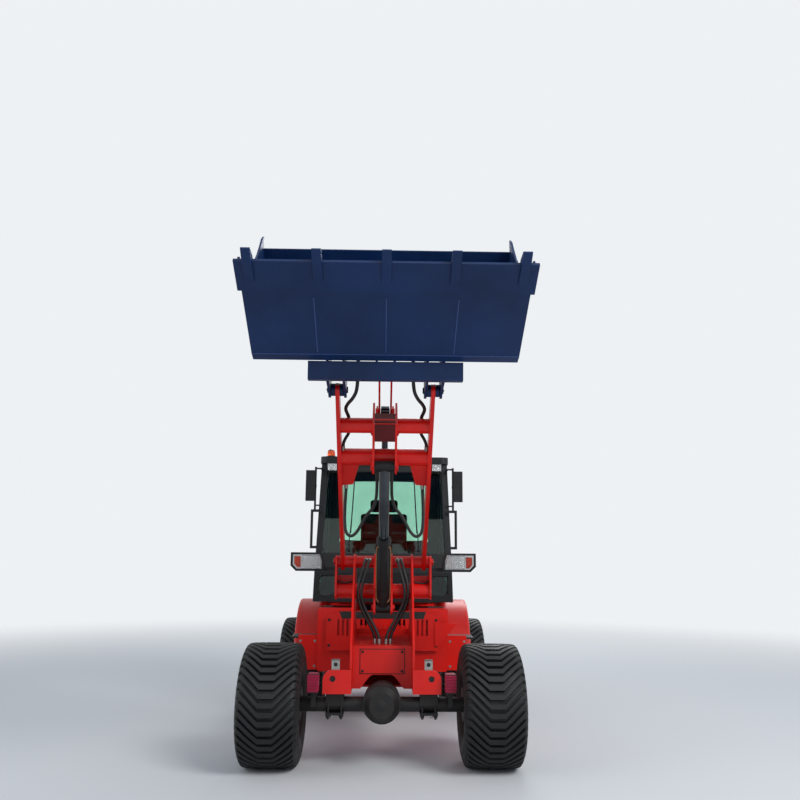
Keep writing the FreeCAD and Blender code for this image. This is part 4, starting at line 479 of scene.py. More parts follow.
def bolts(name, body, material, spots, head, height, slot="steel"):
    """Hexagon bolts at known spots: (place, direction of the head)."""
    mesh = raw_mesh([place for place, _ in spots], [])
    angles = mesh.attributes.new("turn", "FLOAT_VECTOR", "POINT")
    for k, (_, normal) in enumerate(spots):
        angles.data[k].vector = Vector(normal).to_track_quat("Z", "Y").to_euler()
    return run_tree(hex_bolts, mesh, name, material, body, slot, head_radius=head, head_height=height)


# The machine's own places, as in the part: metres from its middle on the ground, the front towards -Y

FRONT_AXLE_Y = -0.676809
REAR_AXLE_Y = FRONT_AXLE_Y + 2.100
AXLE_HIGH = 0.395
HALF_TRACK = 0.733
BOOM_RISE = 43.5
BUCKET_RISE = 32.3
ARM_LENGTH = 1.572
SIDES = (("left", 1), ("right", -1))
ACROSS = (1, 0, 0)
FORWARD = (0, -1, 0)
UP = (0, 0, 1)


def spot(origin, degrees, x, ahead, above):
    """A place beside, ahead of and above an origin, in a frame that rises forwards by that many degrees."""
    turn = math.radians(degrees)
    forward = Vector((0, -math.cos(turn), math.sin(turn)))
    upward = Vector((0, math.sin(turn), math.cos(turn)))
    return origin + Vector((x, 0, 0)) + forward * ahead + upward * above


PIVOT = Vector((0, FRONT_AXLE_Y + 0.440, 1.330))
HINGE = spot(PIVOT, BOOM_RISE, 0, ARM_LENGTH, 0)


def on_boom(x, ahead, above):
    """A place on the boom, from its pivot in the tower."""
    return spot(PIVOT, BOOM_RISE, x, ahead, above)


def on_bucket(x, ahead, above):
    """A place on the bucket, from its hinge at the boom's tip."""
    return spot(HINGE, BUCKET_RISE, x, ahead, above)


LIFT_BASE = Vector((0, FRONT_AXLE_Y + 0.260, 1.010))
LIFT_EYE = on_boom(0, 1.040, -0.118)
LIFT_AXIS = (LIFT_EYE - LIFT_BASE).normalized()


def span(sign, near, far):
    """The lower and higher X of a piece that reaches from near to far on that side."""
    return sorted((sign * near, sign * far))


# Finishes on the CAD nodes

def finish_nodes():
    """Each node's finish, by its own name or else by its slot."""
    by_slot = {
        "red_paint": red_enamel, "navy_paint": navy_enamel, "black_paint": black_enamel, "steel": scaled_steel,
        "chrome": chromed_steel, "glass": green_glass, "tyre": tyre_rubber, "hose": hose_rubber,
        "black": moulded_abs, "red_lens": red_lens, "orange_lens": orange_lens,
    }
    by_node = {
        "cab": cab_coat, "cab_roof": cab_coat, "door_left": cab_coat, "door_right": cab_coat,
        "grab_rails": cab_coat, "engine": cast_iron, "lower_windows": dark_glass, "nose_cover": red_enamel,
    }
    for part in frame["record"]["subparts"]:
        node = frame["nodes"][part["node"]]
        material = by_node.get(part["node"]) or by_slot[part["material_slot"]]
        if not node.data.materials:
            node.data.materials.append(material)
        for socket in node.material_slots:
            socket.material = material


# Tyres: a turned carcass and a ring of moulded V lugs. Profiles are (distance from the middle, radius)

WHEELS = {"front_left": (HALF_TRACK, FRONT_AXLE_Y), "front_right": (-HALF_TRACK, FRONT_AXLE_Y),
          "rear_left": (HALF_TRACK, REAR_AXLE_Y), "rear_right": (-HALF_TRACK, REAR_AXLE_Y)}
LUGS = 44
HALF_TREAD = [(0.0, 0.371), (0.06, 0.3706), (0.11, 0.369), (0.15, 0.3655), (0.171, 0.360), (0.184, 0.351),
              (0.1935, 0.336), (0.1985, 0.318)]
HALF_WALL = [(0.2000, 0.309), (0.2022, 0.307), (0.2036, 0.290), (0.2036, 0.270), (0.2010, 0.250), (0.1985, 0.246),
             (0.1955, 0.232), (0.1885, 0.216), (0.1805, 0.206), (0.1740, 0.2005), (0.1712, 0.1955)]
RIM_SEAT = [(0.15, 0.1945), (0.0, 0.1945), (-0.15, 0.1945)]
LUG_STATIONS = [(0.0, 0.395), (0.046, 0.395), (0.048, 0.395), (0.09, 0.3946), (0.13, 0.3932), (0.158, 0.391),
                (0.172, 0.3865), (0.181, 0.3775), (0.1885, 0.363), (0.1945, 0.347), (0.1985, 0.331)]


def carcass_radius(x):
    """The carcass's radius under the lugs."""
    return float(np.interp(x, [p[0] for p in HALF_TREAD], [p[1] for p in HALF_TREAD]))


def lug_mesh():
    """One V lug: tapered sides, level across the middle, swept back towards both shoulders and down the walls."""
    level, shoulder, slope, mean_radius = 0.047, 0.172, 0.98, 0.39
    crest, foot = 0.0150 / mean_radius, 0.0195 / mean_radius
    sunk, worn = 0.004, 0.0012
    wall_from, wall_inset = 0.18, 0.012
    points, faces = [], []
    stations = [(-x, r) for x, r in LUG_STATIONS[:0:-1]] + LUG_STATIONS
    for x, top in stations:
        reach = abs(x)
        sweep = max(0.0, min(reach, shoulder) - level) * slope / mean_radius
        base = min(carcass_radius(reach), top) - sunk
        inner = x * (1 - wall_inset) if reach > wall_from else x
        outline = ((base, -foot, inner), (top - worn, -crest - 0.002, x), (top, -crest + 0.001, x),
                   (top, crest - 0.001, x), (top - worn, crest + 0.002, x), (base, foot, inner))
        for radius, angle, across in outline:
            turn = sweep + angle
            points.append((across, -radius * math.cos(turn), radius * math.sin(turn)))
    rows, ring = len(stations), 6
    for row in range(rows - 1):
        for k in range(ring):
            n = (k + 1) % ring
            faces.append([row * ring + k, row * ring + n, (row + 1) * ring + n, (row + 1) * ring + k])
    faces.append(list(range(ring))[::-1])
    faces.append([(rows - 1) * ring + k for k in range(ring)])
    return raw_mesh(points, faces)


def dress_wheel(wheel, x, y):
    """The tyre of one wheel, in place of the part's, and the nuts round its hub."""
    half = HALF_TREAD + HALF_WALL
    section = half + RIM_SEAT + [(-distance, radius) for distance, radius in half[:0:-1]]
    lugs = run_tree(ring_round_x, lug_mesh(), "lug_ring_" + wheel, tyre_rubber, None, count=LUGS)
    whole = joined(lathe(section, (0, 0, 0), ACROSS, 144, closed=True), lugs.data)
    bpy.data.objects.remove(lugs)
    whole.transform(Matrix.Translation((x, y, AXLE_HIGH)))
    tyre = finish_mesh("tread_" + wheel, whole, tyre_rubber, "wheel_" + wheel, 32)
    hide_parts("tyre_" + wheel)
    nuts, circle, outward = 8, 0.118, 1 if x > 0 else -1
    angles = [math.tau * (k + 0.5) / nuts for k in range(nuts)]
    starts = [(x + outward * 0.35, y + circle * math.cos(a), AXLE_HIGH + circle * math.sin(a)) for a in angles]
    spots = landings(("rim_" + wheel, start, (-outward, 0, 0)) for start in starts)
    bolts("wheel_nuts_" + wheel, "wheel_" + wheel, zinc_steel, spots, 0.0125, 0.014)


# Headlamps. Each outline is the left lamp's, in X and Z

LAMP_FACE_Y = -0.3918
BEZEL = [(0.453, 1.278), (0.453, 1.337), (0.467, 1.381), (0.663, 1.381), (0.663, 1.308), (0.633, 1.278)]
LENS = [(0.457, 1.281), (0.457, 1.336), (0.470, 1.377), (0.596, 1.377), (0.596, 1.281)]
BOWL = [(0.460, 1.284), (0.460, 1.335), (0.472, 1.374), (0.593, 1.374), (0.593, 1.284)]
FLASHER = [(0.606, 1.289), (0.606, 1.368), (0.652, 1.368), (0.652, 1.314), (0.630, 1.289)]
RIM = [(0.441, 1.266), (0.441, 1.339), (0.459, 1.391), (0.674, 1.391), (0.674, 1.303), (0.638, 1.266)]


def lamp_layer(name, sign, outline, front, back, material):
    """One plate of a headlamp, its front and back measured from the lamp's face."""
    shape = [(sign * x, z) for x, z in outline]
    plate = slab(shape if sign > 0 else shape[::-1], LAMP_FACE_Y + front, LAMP_FACE_Y + back, "Y", 0.0015)
    finish_mesh(name, plate, material, "front_frame", 20)


def headlamp(side, sign):
    """Grey bezel, ribbed clear lens over a bright bowl, orange indicator outside, black rim."""
    lamp_layer("headlamp_bezel_" + side, sign, BEZEL, -0.004, 0.004, silver_paint)
    lamp_layer("headlamp_lens_" + side, sign, LENS, -0.009, -0.0045, clear_lens)
    lamp_layer("headlamp_bowl_" + side, sign, BOWL, -0.0044, -0.0041, reflector)
    lamp_layer("indicator_" + side, sign, FLASHER, -0.009, -0.0042, orange_lens)
    low, high = span(sign, 0.478, 0.4815)
    rib = block((low, LAMP_FACE_Y - 0.0115, 1.287), (high, LAMP_FACE_Y - 0.0088, 1.370), 0.0006)
    run_tree(row_of_ribs, rib, "headlamp_ribs_" + side, clear_lens, "front_frame", "glass", 20, count=7,
             step=(sign * 0.0175, 0.0, 0.0))
    lamp_layer("headlamp_rim_" + side, sign, RIM, -0.0022, 0.002, moulded_abs)


# Work lamps, mirrors and beacon

def pane(x, half_width, low, high):
    """A rectangle in X and Z about an upright line."""
    return [(x - half_width, low), (x + half_width, low), (x + half_width, high), (x - half_width, high)]


def work_lamp(side, sign):
    """Lens and bowl in the front of a work lamp's case."""
    x = sign * 0.4575
    lens = slab(pane(x, 0.038, 2.100, 2.158), 0.5715, 0.5762, "Y")
    finish_mesh("work_lamp_lens_" + side, lens, clear_lens, "rear_frame", 20)
    bowl = slab(pane(x, 0.036, 2.102, 2.156), 0.5764, 0.5782, "Y", 0.0005)
    finish_mesh("work_lamp_bowl_" + side, bowl, reflector, "rear_frame", 20)


def mirror_face(side, sign):
    """The glass in a mirror's case, slightly wider at mid height."""
    x = sign * 0.6405
    face = [(x - 0.034, 1.842), (x + 0.034, 1.842), (x + 0.036, 1.965), (x + 0.034, 2.087), (x - 0.034, 2.087),
            (x - 0.036, 1.965)]
    mirror = slab(face, 0.5848, 0.5868, "Y", 0.0008)
    finish_mesh("mirror_face_" + side, mirror, mirror_glass, "rear_frame", 20)


BEACON = Vector((-0.480, 0.763, 2.2283))
BEACON_FOOT = [(0.0, 0.041), (0.010, 0.041), (0.014, 0.038), (0.019, 0.0375), (0.0195, 0.030)]
BEACON_DOME = [(0.0192, 0.0358), (0.024, 0.0362), (0.026, 0.0350), (0.032, 0.0358), (0.034, 0.0346),
               (0.040, 0.0354), (0.042, 0.0342), (0.048, 0.0348), (0.050, 0.0336), (0.056, 0.0336),
               (0.064, 0.0318), (0.071, 0.0272), (0.0762, 0.0190), (0.0788, 0.0090), (0.0795, 0.0015)]


def beacon():
    """A black foot and a ribbed orange dome, in place of the part's."""
    foot = lathe(BEACON_FOOT, BEACON, UP, 48)
    foot_piece = finish_mesh("beacon_foot", foot, moulded_abs, "rear_frame", 30)
    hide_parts("beacon")
    dome = lathe(BEACON_DOME, BEACON, UP, 56)
    finish_mesh("beacon_dome", dome, orange_lens, "rear_frame", 25)


# Hoses. The tower's routes repeat the part's, in millimetres from the pivot. The others are in metres.

TOWER_ROUTES = [
    [(103, -74.3, 15), (104, -140, 15), (112, -202, -20), (126, -240, -80), (148, -250, -150), (160, -244, -225),
     (140, -226, -305), (98, -218, -385), (52, -226, -462), (24, -236, -520), (24, -236, -568.7)],
    [(129, -74.3, 15), (131, -140, 15), (140, -200, -18), (154, -236, -78), (174, -246, -148), (184, -240, -223),
     (166, -220, -303), (126, -208, -383), (82, -208, -461), (54, -212, -518), (54, -212, -568.7)],
]
BOOM_LOOP = [(0.262, -0.822, 1.868), (0.266, -0.806, 1.80), (0.271, -0.795, 1.70), (0.271, -0.790, 1.60),
             (0.262, -0.788, 1.530), (0.226, -0.786, 1.502), (0.186, -0.788, 1.532), (0.150, -0.792, 1.600),
             (0.112, -0.800, 1.664), (0.072, -0.815, 1.700), (0.052, -0.835, 1.772), (0.050, -0.868, 1.860),
             (0.050, -0.905, 1.940), (0.050, -0.928, 1.985)]
# Over the boom's upper tube: beside, ahead of and above the pivot along the boom
TUBE_ARCH = [(0.238, 1.296, 0.050), (0.236, 1.262, 0.092), (0.236, 1.215, 0.090), (0.240, 1.180, 0.060),
             (0.262, 1.160, 0.030), (0.276, 1.135, 0.012), (0.280, 1.105, 0.004), (0.280, 1.078, 0.000)]


def spline_length(curve):
    """The length of a curve's own line and its points, read from the line without its section."""
    depth = curve.data.bevel_depth
    curve.data.bevel_depth = 0.0
    context.view_layer.update()
    bare = bpy.data.meshes.new_from_object(curve.evaluated_get(context.evaluated_depsgraph_get()))
    curve.data.bevel_depth = depth
    spots = [v.co.copy() for v in bare.vertices]
    bpy.data.meshes.remove(bare)
    return sum((b - a).length for a, b in zip(spots, spots[1:])), spots


def ferrule(name, here, after, radius, body):
    """A crimped steel sleeve over a hose's end."""
    shape = [(0.0, radius * 0.9), (0.002, radius * 1.3), (0.012, radius * 1.3), (0.013, radius * 1.12),
             (0.017, radius * 1.12), (0.018, radius * 1.28), (0.034, radius * 1.28), (0.036, radius * 1.05)]
    return finish_mesh(name, lathe(shape, here, (after - here).normalized(), 20), zinc_steel, body, 30)


def hose(name, points, radius, body, folds_with=None):
    """A hydraulic hose between two fittings on one body, with its crimped ferrules. One given a joint to fold with
    is made into a plain mesh of its own."""
    piece = line(name, points, radius, hose_rubber)
    long, spots = spline_length(piece)
    if folds_with:
        piece = finish_mesh(name, as_mesh(piece), hose_rubber, None, 50)
    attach(piece, body)
    if folds_with:
        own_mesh(piece)
    ends = [ferrule(name + "_ferrule_start", spots[0], spots[4], radius, body),
            ferrule(name + "_ferrule_end", spots[-1], spots[-5], radius, body)]
    return piece


def tower_hoses():
    """Four hoses down the tower, in place of the part's node."""
    first = None
    for side, sign in SIDES:
        for number, route in enumerate(TOWER_ROUTES, 1):
            points = [PIVOT + Vector((sign * x, y, z)) / 1000 for x, y, z in route]
            piece = hose("tower_hose_%s_%d" % (side, number), points, 0.011, "front_frame")
            first = first or piece
    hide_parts("tower_hoses")


def coupler_hose(side, sign):
    """A hose from the boom's tube to the coupler, bent round the bucket's hinge."""
    ahead = on_bucket(0, 1, 0) - HINGE
    beam = landing("coupler", on_bucket(sign * 0.168, 0.06, 0.012), ahead)
    route = [(0.166, beam[0] + ahead * 0.004), (0.168, beam[0] - ahead * 0.040)]
    route += [(0.176, on_bucket(0, 0.020, -0.012))]
    route += [(x, on_boom(0, along, above)) for x, along, above in (
        (0.206, 1.520, -0.020), (0.240, 1.470, -0.005), (0.258, 1.420, 0.010), (0.252, 1.365, 0.040),
        (0.240, 1.320, 0.058), (0.238, 1.298, 0.051))]
    pipe = tube([Vector((sign * x, p.y, p.z)) for x, p in route], 0.0115)
    piece = finish_mesh("coupler_hose_" + side, pipe, hose_rubber, None, 40)
    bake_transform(piece)


def boom_hoses(side, sign):
    """The hanging loop under the boom, the arch over its tube and the hose to the coupler."""
    hose("boom_hose_" + side, [Vector((sign * x, y, z)) for x, y, z in BOOM_LOOP], 0.0110, "boom",
         folds_with="boom_lift")
    hose("tube_hose_" + side, [on_boom(sign * x, along, above) for x, along, above in TUBE_ARCH], 0.0105, "boom")
    coupler_hose(side, sign)


# Axles: differential covers, clamp nuts, calipers

DIFF_HIGH = 0.413
DIFF_COVER = [(0.0, 0.122), (0.014, 0.129), (0.028, 0.129), (0.030, 0.120), (0.048, 0.117), (0.070, 0.108),
              (0.089, 0.092), (0.103, 0.070), (0.111, 0.048), (0.1165, 0.026), (0.1185, 0.0015)]


def differential(end, y, outward):
    """The domed cover on an axle's outer side, its ring of bolts, and the clamp nuts under the axle."""
    body = end + "_frame"
    cover = lathe(DIFF_COVER, (0, y, DIFF_HIGH), (0, outward, 0), 64)
    finish_mesh("diff_cover_" + end, cover, black_enamel, body, 30)
    count, circle, flange = 12, 0.1235, 0.0285
    angles = [math.tau * k / count for k in range(count)]
    spots = [((circle * math.cos(a), y + outward * flange, DIFF_HIGH + circle * math.sin(a)), (0, outward, 0))
             for a in angles]
    bolts("diff_bolts_" + end, body, black_enamel, spots, 0.0042, 0.004, "black_paint")
    nuts = landings((end + "_axle", (sign * x, y - outward * inward, 0.1), UP)
                    for sign in (-1, 1) for x in (0.33, 0.40) for inward in (-0.002, 0.108))
    if nuts:
        bolts("clamp_nuts_" + end, body, zinc_steel, nuts, 0.010, 0.012)


def caliper(side, sign):
    """A ribbed crimson brake caliper in front of the axle."""
    low, high = span(sign, 0.4195, 0.4905)
    case = block((low, -0.8424, 0.4895), (high, -0.7512, 0.6105), 0.006)
    finish_mesh("caliper_" + side, case, crimson_enamel, "front_frame", 30)
    rib = block((low - 0.001, -0.8465, 0.5000), (high + 0.001, -0.8415, 0.5075), 0.0012)
    run_tree(row_of_ribs, rib, "caliper_ribs_" + side, crimson_enamel, "front_frame", "red_paint", 30, count=6,
             step=(0.0, 0.0, 0.0185))


# Front frame: ears, corner brackets, nose plate, tower cables

def ear_fittings(side, sign):
    """The bush in the ear over the axle, and the zinc angle bracket with its bolt behind it."""
    plug = lathe([(0.0, 0.0197), (0.006, 0.0197), (0.0065, 0.012)], (sign * 0.330, -0.776, 0.572), FORWARD, 32)
    finish_mesh("ear_bush_" + side, plug, black_enamel, "front_frame", 30)
    ear = landing("front_frame", (sign * 0.310, -0.60, 0.600), FORWARD)
    if ear:
        back = ear[0].y
        low, high = span(sign, 0.284, 0.338)
        bracket = joined(block((low, back, 0.585), (high, back + 0.005, 0.692), 0.001),
                         block((low, back, 0.687), (high, back + 0.045, 0.692), 0.001))
        finish_mesh("corner_bracket_" + side, bracket, zinc_steel, "front_frame", 20)
        bolts("corner_bracket_bolt_" + side, "front_frame", black_enamel,
              [((sign * 0.311, back, 0.662), FORWARD)], 0.009, 0.007, "black_paint")


def nose_plate_bolts():
    """A bolt near each corner of the nose plate."""
    spots = [((sign * 0.137, -0.5783, z), FORWARD) for sign in (-1, 1) for z in (0.593, 0.721)]
    bolts("nose_plate_bolts", "front_frame", black_enamel, spots, 0.0062, 0.005, "black_paint")


def nose_plate_gasket():
    """A sheet of black seal rubber just wider than the nose plate, behind it: painted shade for the shadow line
    round the plate.
    """
    shade_line = block((-0.1570, -0.5736, 0.5730), (0.1570, -0.5722, 0.7410), 0.0004)
    finish_mesh("nose_plate_gasket", shade_line, seal_rubber, "front_frame", 20)


def tower_cable(side, sign):
    """A cable that sags between the tower's two plates."""
    sag = ((0.219, -0.262, 1.192), (0.245, -0.268, 1.180), (0.285, -0.270, 1.172), (0.320, -0.268, 1.178),
           (0.3432, -0.262, 1.188))
    cable = tube([Vector((sign * x, y, z)) for x, y, z in sag], 0.006)
    finish_mesh("tower_cable_" + side, cable, hose_rubber, "front_frame", 50)


# Lift cylinder: gland ring, tan pipes, and the rod's black eye

def lift_gland():
    """An open ring round the barrel's end, clear of the rod."""
    ring = [(0.0, 0.0465), (0.002, 0.0500), (0.020, 0.0500), (0.022, 0.0470), (0.026, 0.0470), (0.028, 0.0492),
            (0.040, 0.0492), (0.042, 0.0470)]
    gland = lathe(ring, LIFT_BASE + LIFT_AXIS * 0.5475, LIFT_AXIS, 48, closed=True)
    finish_mesh("lift_gland", gland, black_enamel, "lift_barrel", 30)


def lift_pipes():
    """A pipe along each side of the barrel, its ends turned in to the barrel's front."""
    down_front = Vector((0, -LIFT_AXIS.z, LIFT_AXIS.y))
    pipes = []
    for sign in (-1, 1):
        beside = Vector((sign * 0.0497, 0, 0)) + down_front * 0.012
        inside = Vector((sign * 0.030, 0, 0)) + down_front * 0.034
        route = [LIFT_BASE + LIFT_AXIS * along + out
                 for along, out in ((0.545, inside), (0.525, beside), (0.085, beside), (0.070, inside))]
        pipes.append(tube(straight(route, 0.012), 0.004))
    finish_mesh("lift_pipes", joined(*pipes), tan_pipe, "lift_barrel", 50)


def lift_rod_eye():
    """The black sleeve on the rod's eye, between the boom's lugs."""
    half = 0.0662
    skin = lathe([(0.0, 0.030), (0.002, 0.0366), (0.1304, 0.0366), (0.1324, 0.030)],
                 LIFT_EYE + Vector((-half, 0, 0)), ACROSS, 48)
    finish_mesh("lift_rod_eye", skin, black_enamel, "lift_rod", 30)


# Boom and bucket: painted-shade plates on the middle bracket, hinge collars, weld beads, pin bolts

def bracket_shade_plates():
    """Dark red sheets under and in front of the boom's middle bracket: painted shade for the bracket's shadowed
    tray and front.
    """
    level = Matrix.Rotation(math.radians(-BOOM_RISE), 4, "X")
    # A thin dark red sheet over the tray between the bracket's plates: painted shade
    shade_sheet = block((-0.0665, -0.0705, -0.0022), (0.0665, 0.0705, 0.0), 0.0006)
    shade_sheet.transform(Matrix.Translation(on_boom(0, 1.2725, -0.0583)) @ level)
    finish_mesh("bracket_tray_liner", shade_sheet, dark_red_enamel, "boom", 20)
    # A thin dark red plate over the bracket's front: painted shade
    plate = slab([(-0.0675, 0.0), (0.0675, 0.0), (0.0675, 0.100), (-0.0675, 0.100)], 0.0, 0.008, "Y", 0.001)
    plate.transform(Matrix.Translation(on_boom(0, 1.338, -0.030)) @ level)
    finish_mesh("bracket_front_plate", plate, dark_red_enamel, "boom", 20)


def tip_collars():
    """A collar on each side of each of the boom's tips."""
    collar = [(0.0, 0.0385), (0.002, 0.0400), (0.0245, 0.0400), (0.0265, 0.0385)]
    collars = [lathe(collar, HINGE + Vector((sign * 0.303 + shift, 0, 0)), ACROSS, 48)
               for sign in (-1, 1) for shift in (-0.0402, 0.0137)]
    finish_mesh("tip_collars", joined(*collars), navy_enamel, "boom", 30)


def floor_welds():
    """Weld beads under the bucket's floor: three along it, and one across it at the edge and at the heel."""
    under, half_width = -0.0985, 0.784
    beads = [tube([on_bucket(x, ahead, under) for ahead in (0.42, 0.60, 0.83)], 0.0035, detail=2)
             for x in (-0.40, 0.0, 0.40)]
    beads += [tube([on_bucket(x, ahead, under) for x in (-half_width, 0.0, half_width)], radius, detail=2)
              for ahead, radius in ((0.878, 0.004), (0.402, 0.003))]
    finish_mesh("floor_welds", joined(*beads), weld_bead, "bucket", 60)


def pin_bolts():
    """Two bolts through the keeper of each pin, at both of its ends."""
    for node, body, reach, pin in (("front_frame", "front_frame", 0.42, PIVOT), ("coupler", "bucket", 0.46, HINGE),
                                   ("boom", "boom", 0.13, on_boom(0, 1.153, 0.112))):
        starts = [(node, pin + Vector((sign * reach, shift, 0)), (-sign, 0, 0))
                  for sign in (-1, 1) for shift in (-0.011, 0.011)]
        bolts("pin_bolts_" + node, body, zinc_steel, landings(starts), 0.0052, 0.004)


# Rear frame's front: fender skirts, a painted-shade sheet over the panel's gap, gusset, bolts

PANEL_FRONT_Y = 0.4969


def fender_skirt(side, sign):
    """The upright plate under a fender's front end, with its four bolts."""
    low, high = span(sign, 0.5475, 0.702)
    skirt = block((low, 0.5555, 0.440), (high, 0.5629, 0.7195), 0.002)
    finish_mesh("fender_skirt_" + side, skirt, red_enamel, "rear_frame", 20)
    spots = [((sign * x, 0.5556, z), FORWARD) for x in (0.565, 0.685) for z in (0.47, 0.67)]
    bolts("fender_skirt_bolts_" + side, "rear_frame", zinc_steel, spots, 0.007, 0.005)


def panel_apron():
    """A thin black sheet of seal rubber on the front panel: painted shade for the dark gap between the panel and
    the cab.
    """
    outline = [(-0.340, 0.856), (0.340, 0.856), (0.362, 0.914), (-0.362, 0.914)]
    gap_shade = slab(outline, PANEL_FRONT_Y - 0.0027, PANEL_FRONT_Y, "Y", 0.0006)
    finish_mesh("panel_apron", gap_shade, seal_rubber, "rear_frame", 20)


def panel_gusset():
    """The three-cornered plate on the panel's left end."""
    outline = [(0.432, 0.826), (0.637, 0.826), (0.600, 0.800), (0.462, 0.640), (0.432, 0.640)]
    gusset = slab(outline, PANEL_FRONT_Y - 0.0084, PANEL_FRONT_Y, "Y", 0.001)
    finish_mesh("panel_gusset", gusset, red_enamel, "rear_frame", 20)


def panel_bolts():
    """Black bolts near the front panel's edges."""
    places = ((0.445, 0.845), (0.445, 0.640), (0.235, 0.870), (0.235, 0.640))
    spots = landings(("front_panel", (sign * x, -1.0, z), (0, 1, 0)) for sign in (-1, 1) for x, z in places)
    bolts("panel_bolts", "rear_frame", black_enamel, spots, 0.008, 0.005, "black_paint")


# Cab: seals round the panes, wipers, dash and consoles

def pane_loops(node):
    """The outline of each pane of a node, on the pane's middle plane."""
    work = bmesh.new()
    work.from_mesh(frame["nodes"][node].data)
    bmesh.ops.remove_doubles(work, verts=work.verts, dist=0.00002)
    left, loops = set(work.verts), []
    while left:
        island, edge_of_island = set(), [left.pop()]
        while edge_of_island:
            vertex = edge_of_island.pop()
            island.add(vertex)
            for edge in vertex.link_edges:
                other = edge.other_vert(vertex)
                if other in left:
                    left.discard(other)
                    edge_of_island.append(other)
        places = np.array([v.co[:] for v in island])
        middle = places.mean(axis=0)
        _, _, (along, across, _) = np.linalg.svd(places - middle, full_matrices=False)
        flat = [(float(p @ along), float(p @ across)) for p in places - middle]
        loops.append([Vector(middle + flat[k][0] * along + flat[k][1] * across)
                      for k in geometry.convex_hull_2d(flat)])
    work.free()
    return loops


def seal(name, nodes, body, radius=0.008):
    """Rubber round each pane's outline, bent at its corners."""
    rings = []
    for loop in (loop for node in nodes for loop in pane_loops(node)):
        if len(loop) < 3:
            continue
        full = []
        for k, here in enumerate(loop):
            for other in (loop[k - 1], loop[(k + 1) % len(loop)]):
                step = min(0.03, (other - here).length * 0.3)
                full.append(here + (other - here).normalized() * step)
        rings.append(tube(full, radius, closed=True, detail=2))
    return finish_mesh(name, joined(*rings), seal_rubber, body, 50)


def screen_y(z):
    """Front face of the windscreen at that height."""
    low, high, foot, head = 1.386, 2.098, 0.551, 0.669
    return foot + (z - low) * (head - foot - 0.008) / (high - low) - 0.012


def wiper(side, sign):
    """An arm from a boss under the screen, and its blade."""
    base = Vector((sign * 0.30, screen_y(1.42), 1.42))
    tip = Vector((sign * 0.27, screen_y(1.80) + 0.004, 1.80))
    arm = tube([base, base + Vector((0, -0.012, 0.03)), (base + tip) / 2 + Vector((0, -0.008, 0)), tip], 0.004)
    low, high = (Vector((sign * x, screen_y(z) + 0.004, z)) for x, z in ((0.285, 1.56), (0.262, 2.02)))
    blade = tube([low, (low + high) / 2, high], 0.0055, detail=3)
    boss = lathe([(0.0, 0.016), (0.016, 0.016), (0.020, 0.010)], base + Vector((0, 0.010, 0)), FORWARD, 24)
    finish_mesh("wiper_" + side, joined(arm, blade, boss), moulded_abs, "rear_frame", 40)


CAB_FLOOR = 1.04


def dash_and_consoles():
    """The dash on its column, and a console on each side of the seat."""
    dash = joined(block((-0.30, 0.625, 1.30), (0.30, 0.735, 1.395), 0.02),
                  block((-0.16, 0.68, CAB_FLOOR), (0.16, 0.74, 1.31), 0.01))
    finish_mesh("dash_panel", dash, moulded_abs, "rear_frame", 40)
    console = joined(block((-0.42, 0.98, CAB_FLOOR), (-0.27, 1.38, 1.46), 0.02),
                     block((0.27, 0.98, CAB_FLOOR), (0.42, 1.38, 1.40), 0.02))
    finish_mesh("side_consoles", console, moulded_abs, "rear_frame", 40)


# Seat: three pads, a stand and bellows

def pad(name, centre, half, crown, up, channels=()):
    """An upholstered cushion: rounded corners, a crown on its face, sides drawn in between corners, sewn
    channels as (axis, place from -1 to 1)."""
    draw_in, channel_depth, channel_width = 0.025, 0.007, 0.07
    corner = min(half) * 0.75
    work = bmesh.new()
    bmesh.ops.create_cube(work, size=2.0)
    bmesh.ops.subdivide_edges(work, edges=work.edges[:], cuts=15, use_grid_fill=True)
    others = [k for k in range(3) if k != up]
    for vertex in work.verts:
        unit = vertex.co.copy()
        place = Vector([unit[k] * half[k] for k in range(3)])
        core = Vector([max(-half[k] + corner, min(half[k] - corner, place[k])) for k in range(3)])
        out = place - core
        if out.length > corner:
            place = core + out.normalized() * corner
        a, b = unit[others[0]], unit[others[1]]
        for k, other in ((others[0], b), (others[1], a)):
            place[k] *= 1 - draw_in * (1 - other * other)
        if unit[up] > 0.2:
            dip = 0.0
            for axis, where in channels:
                dip += channel_depth * math.exp(-((unit[others[axis]] - where) / channel_width) ** 2)
            place[up] += crown * (1 - a * a) * (1 - b * b) - dip - crown
        vertex.co = place + Vector(centre)
    mesh = bpy.data.meshes.new(name)
    work.to_mesh(mesh)
    work.free()
    piece = finish_mesh(name, mesh, seat_vinyl, "rear_frame", 60)
    smooth = piece.modifiers.new("smooth", "SUBSURF")
    smooth.levels = smooth.render_levels = 1
    return piece


def seat_pads():
    """Cushion, back and head rest, in place of the part's seat."""
    cushion = pad("seat_cushion", (0, 1.165, 1.352), (0.238, 0.198, 0.048), 0.016, 2,
                  ((0, -0.62), (0, 0.62), (1, -0.25), (1, 0.25)))
    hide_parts("seat")
    pad("seat_back", (0, 1.364, 1.565), (0.226, 0.046, 0.200), 0.014, 1,
        ((0, -0.62), (0, 0.62), (1, -0.35), (1, 0.1)))
    pad("head_rest", (0, 1.366, 1.836), (0.135, 0.042, 0.060), 0.008, 1)


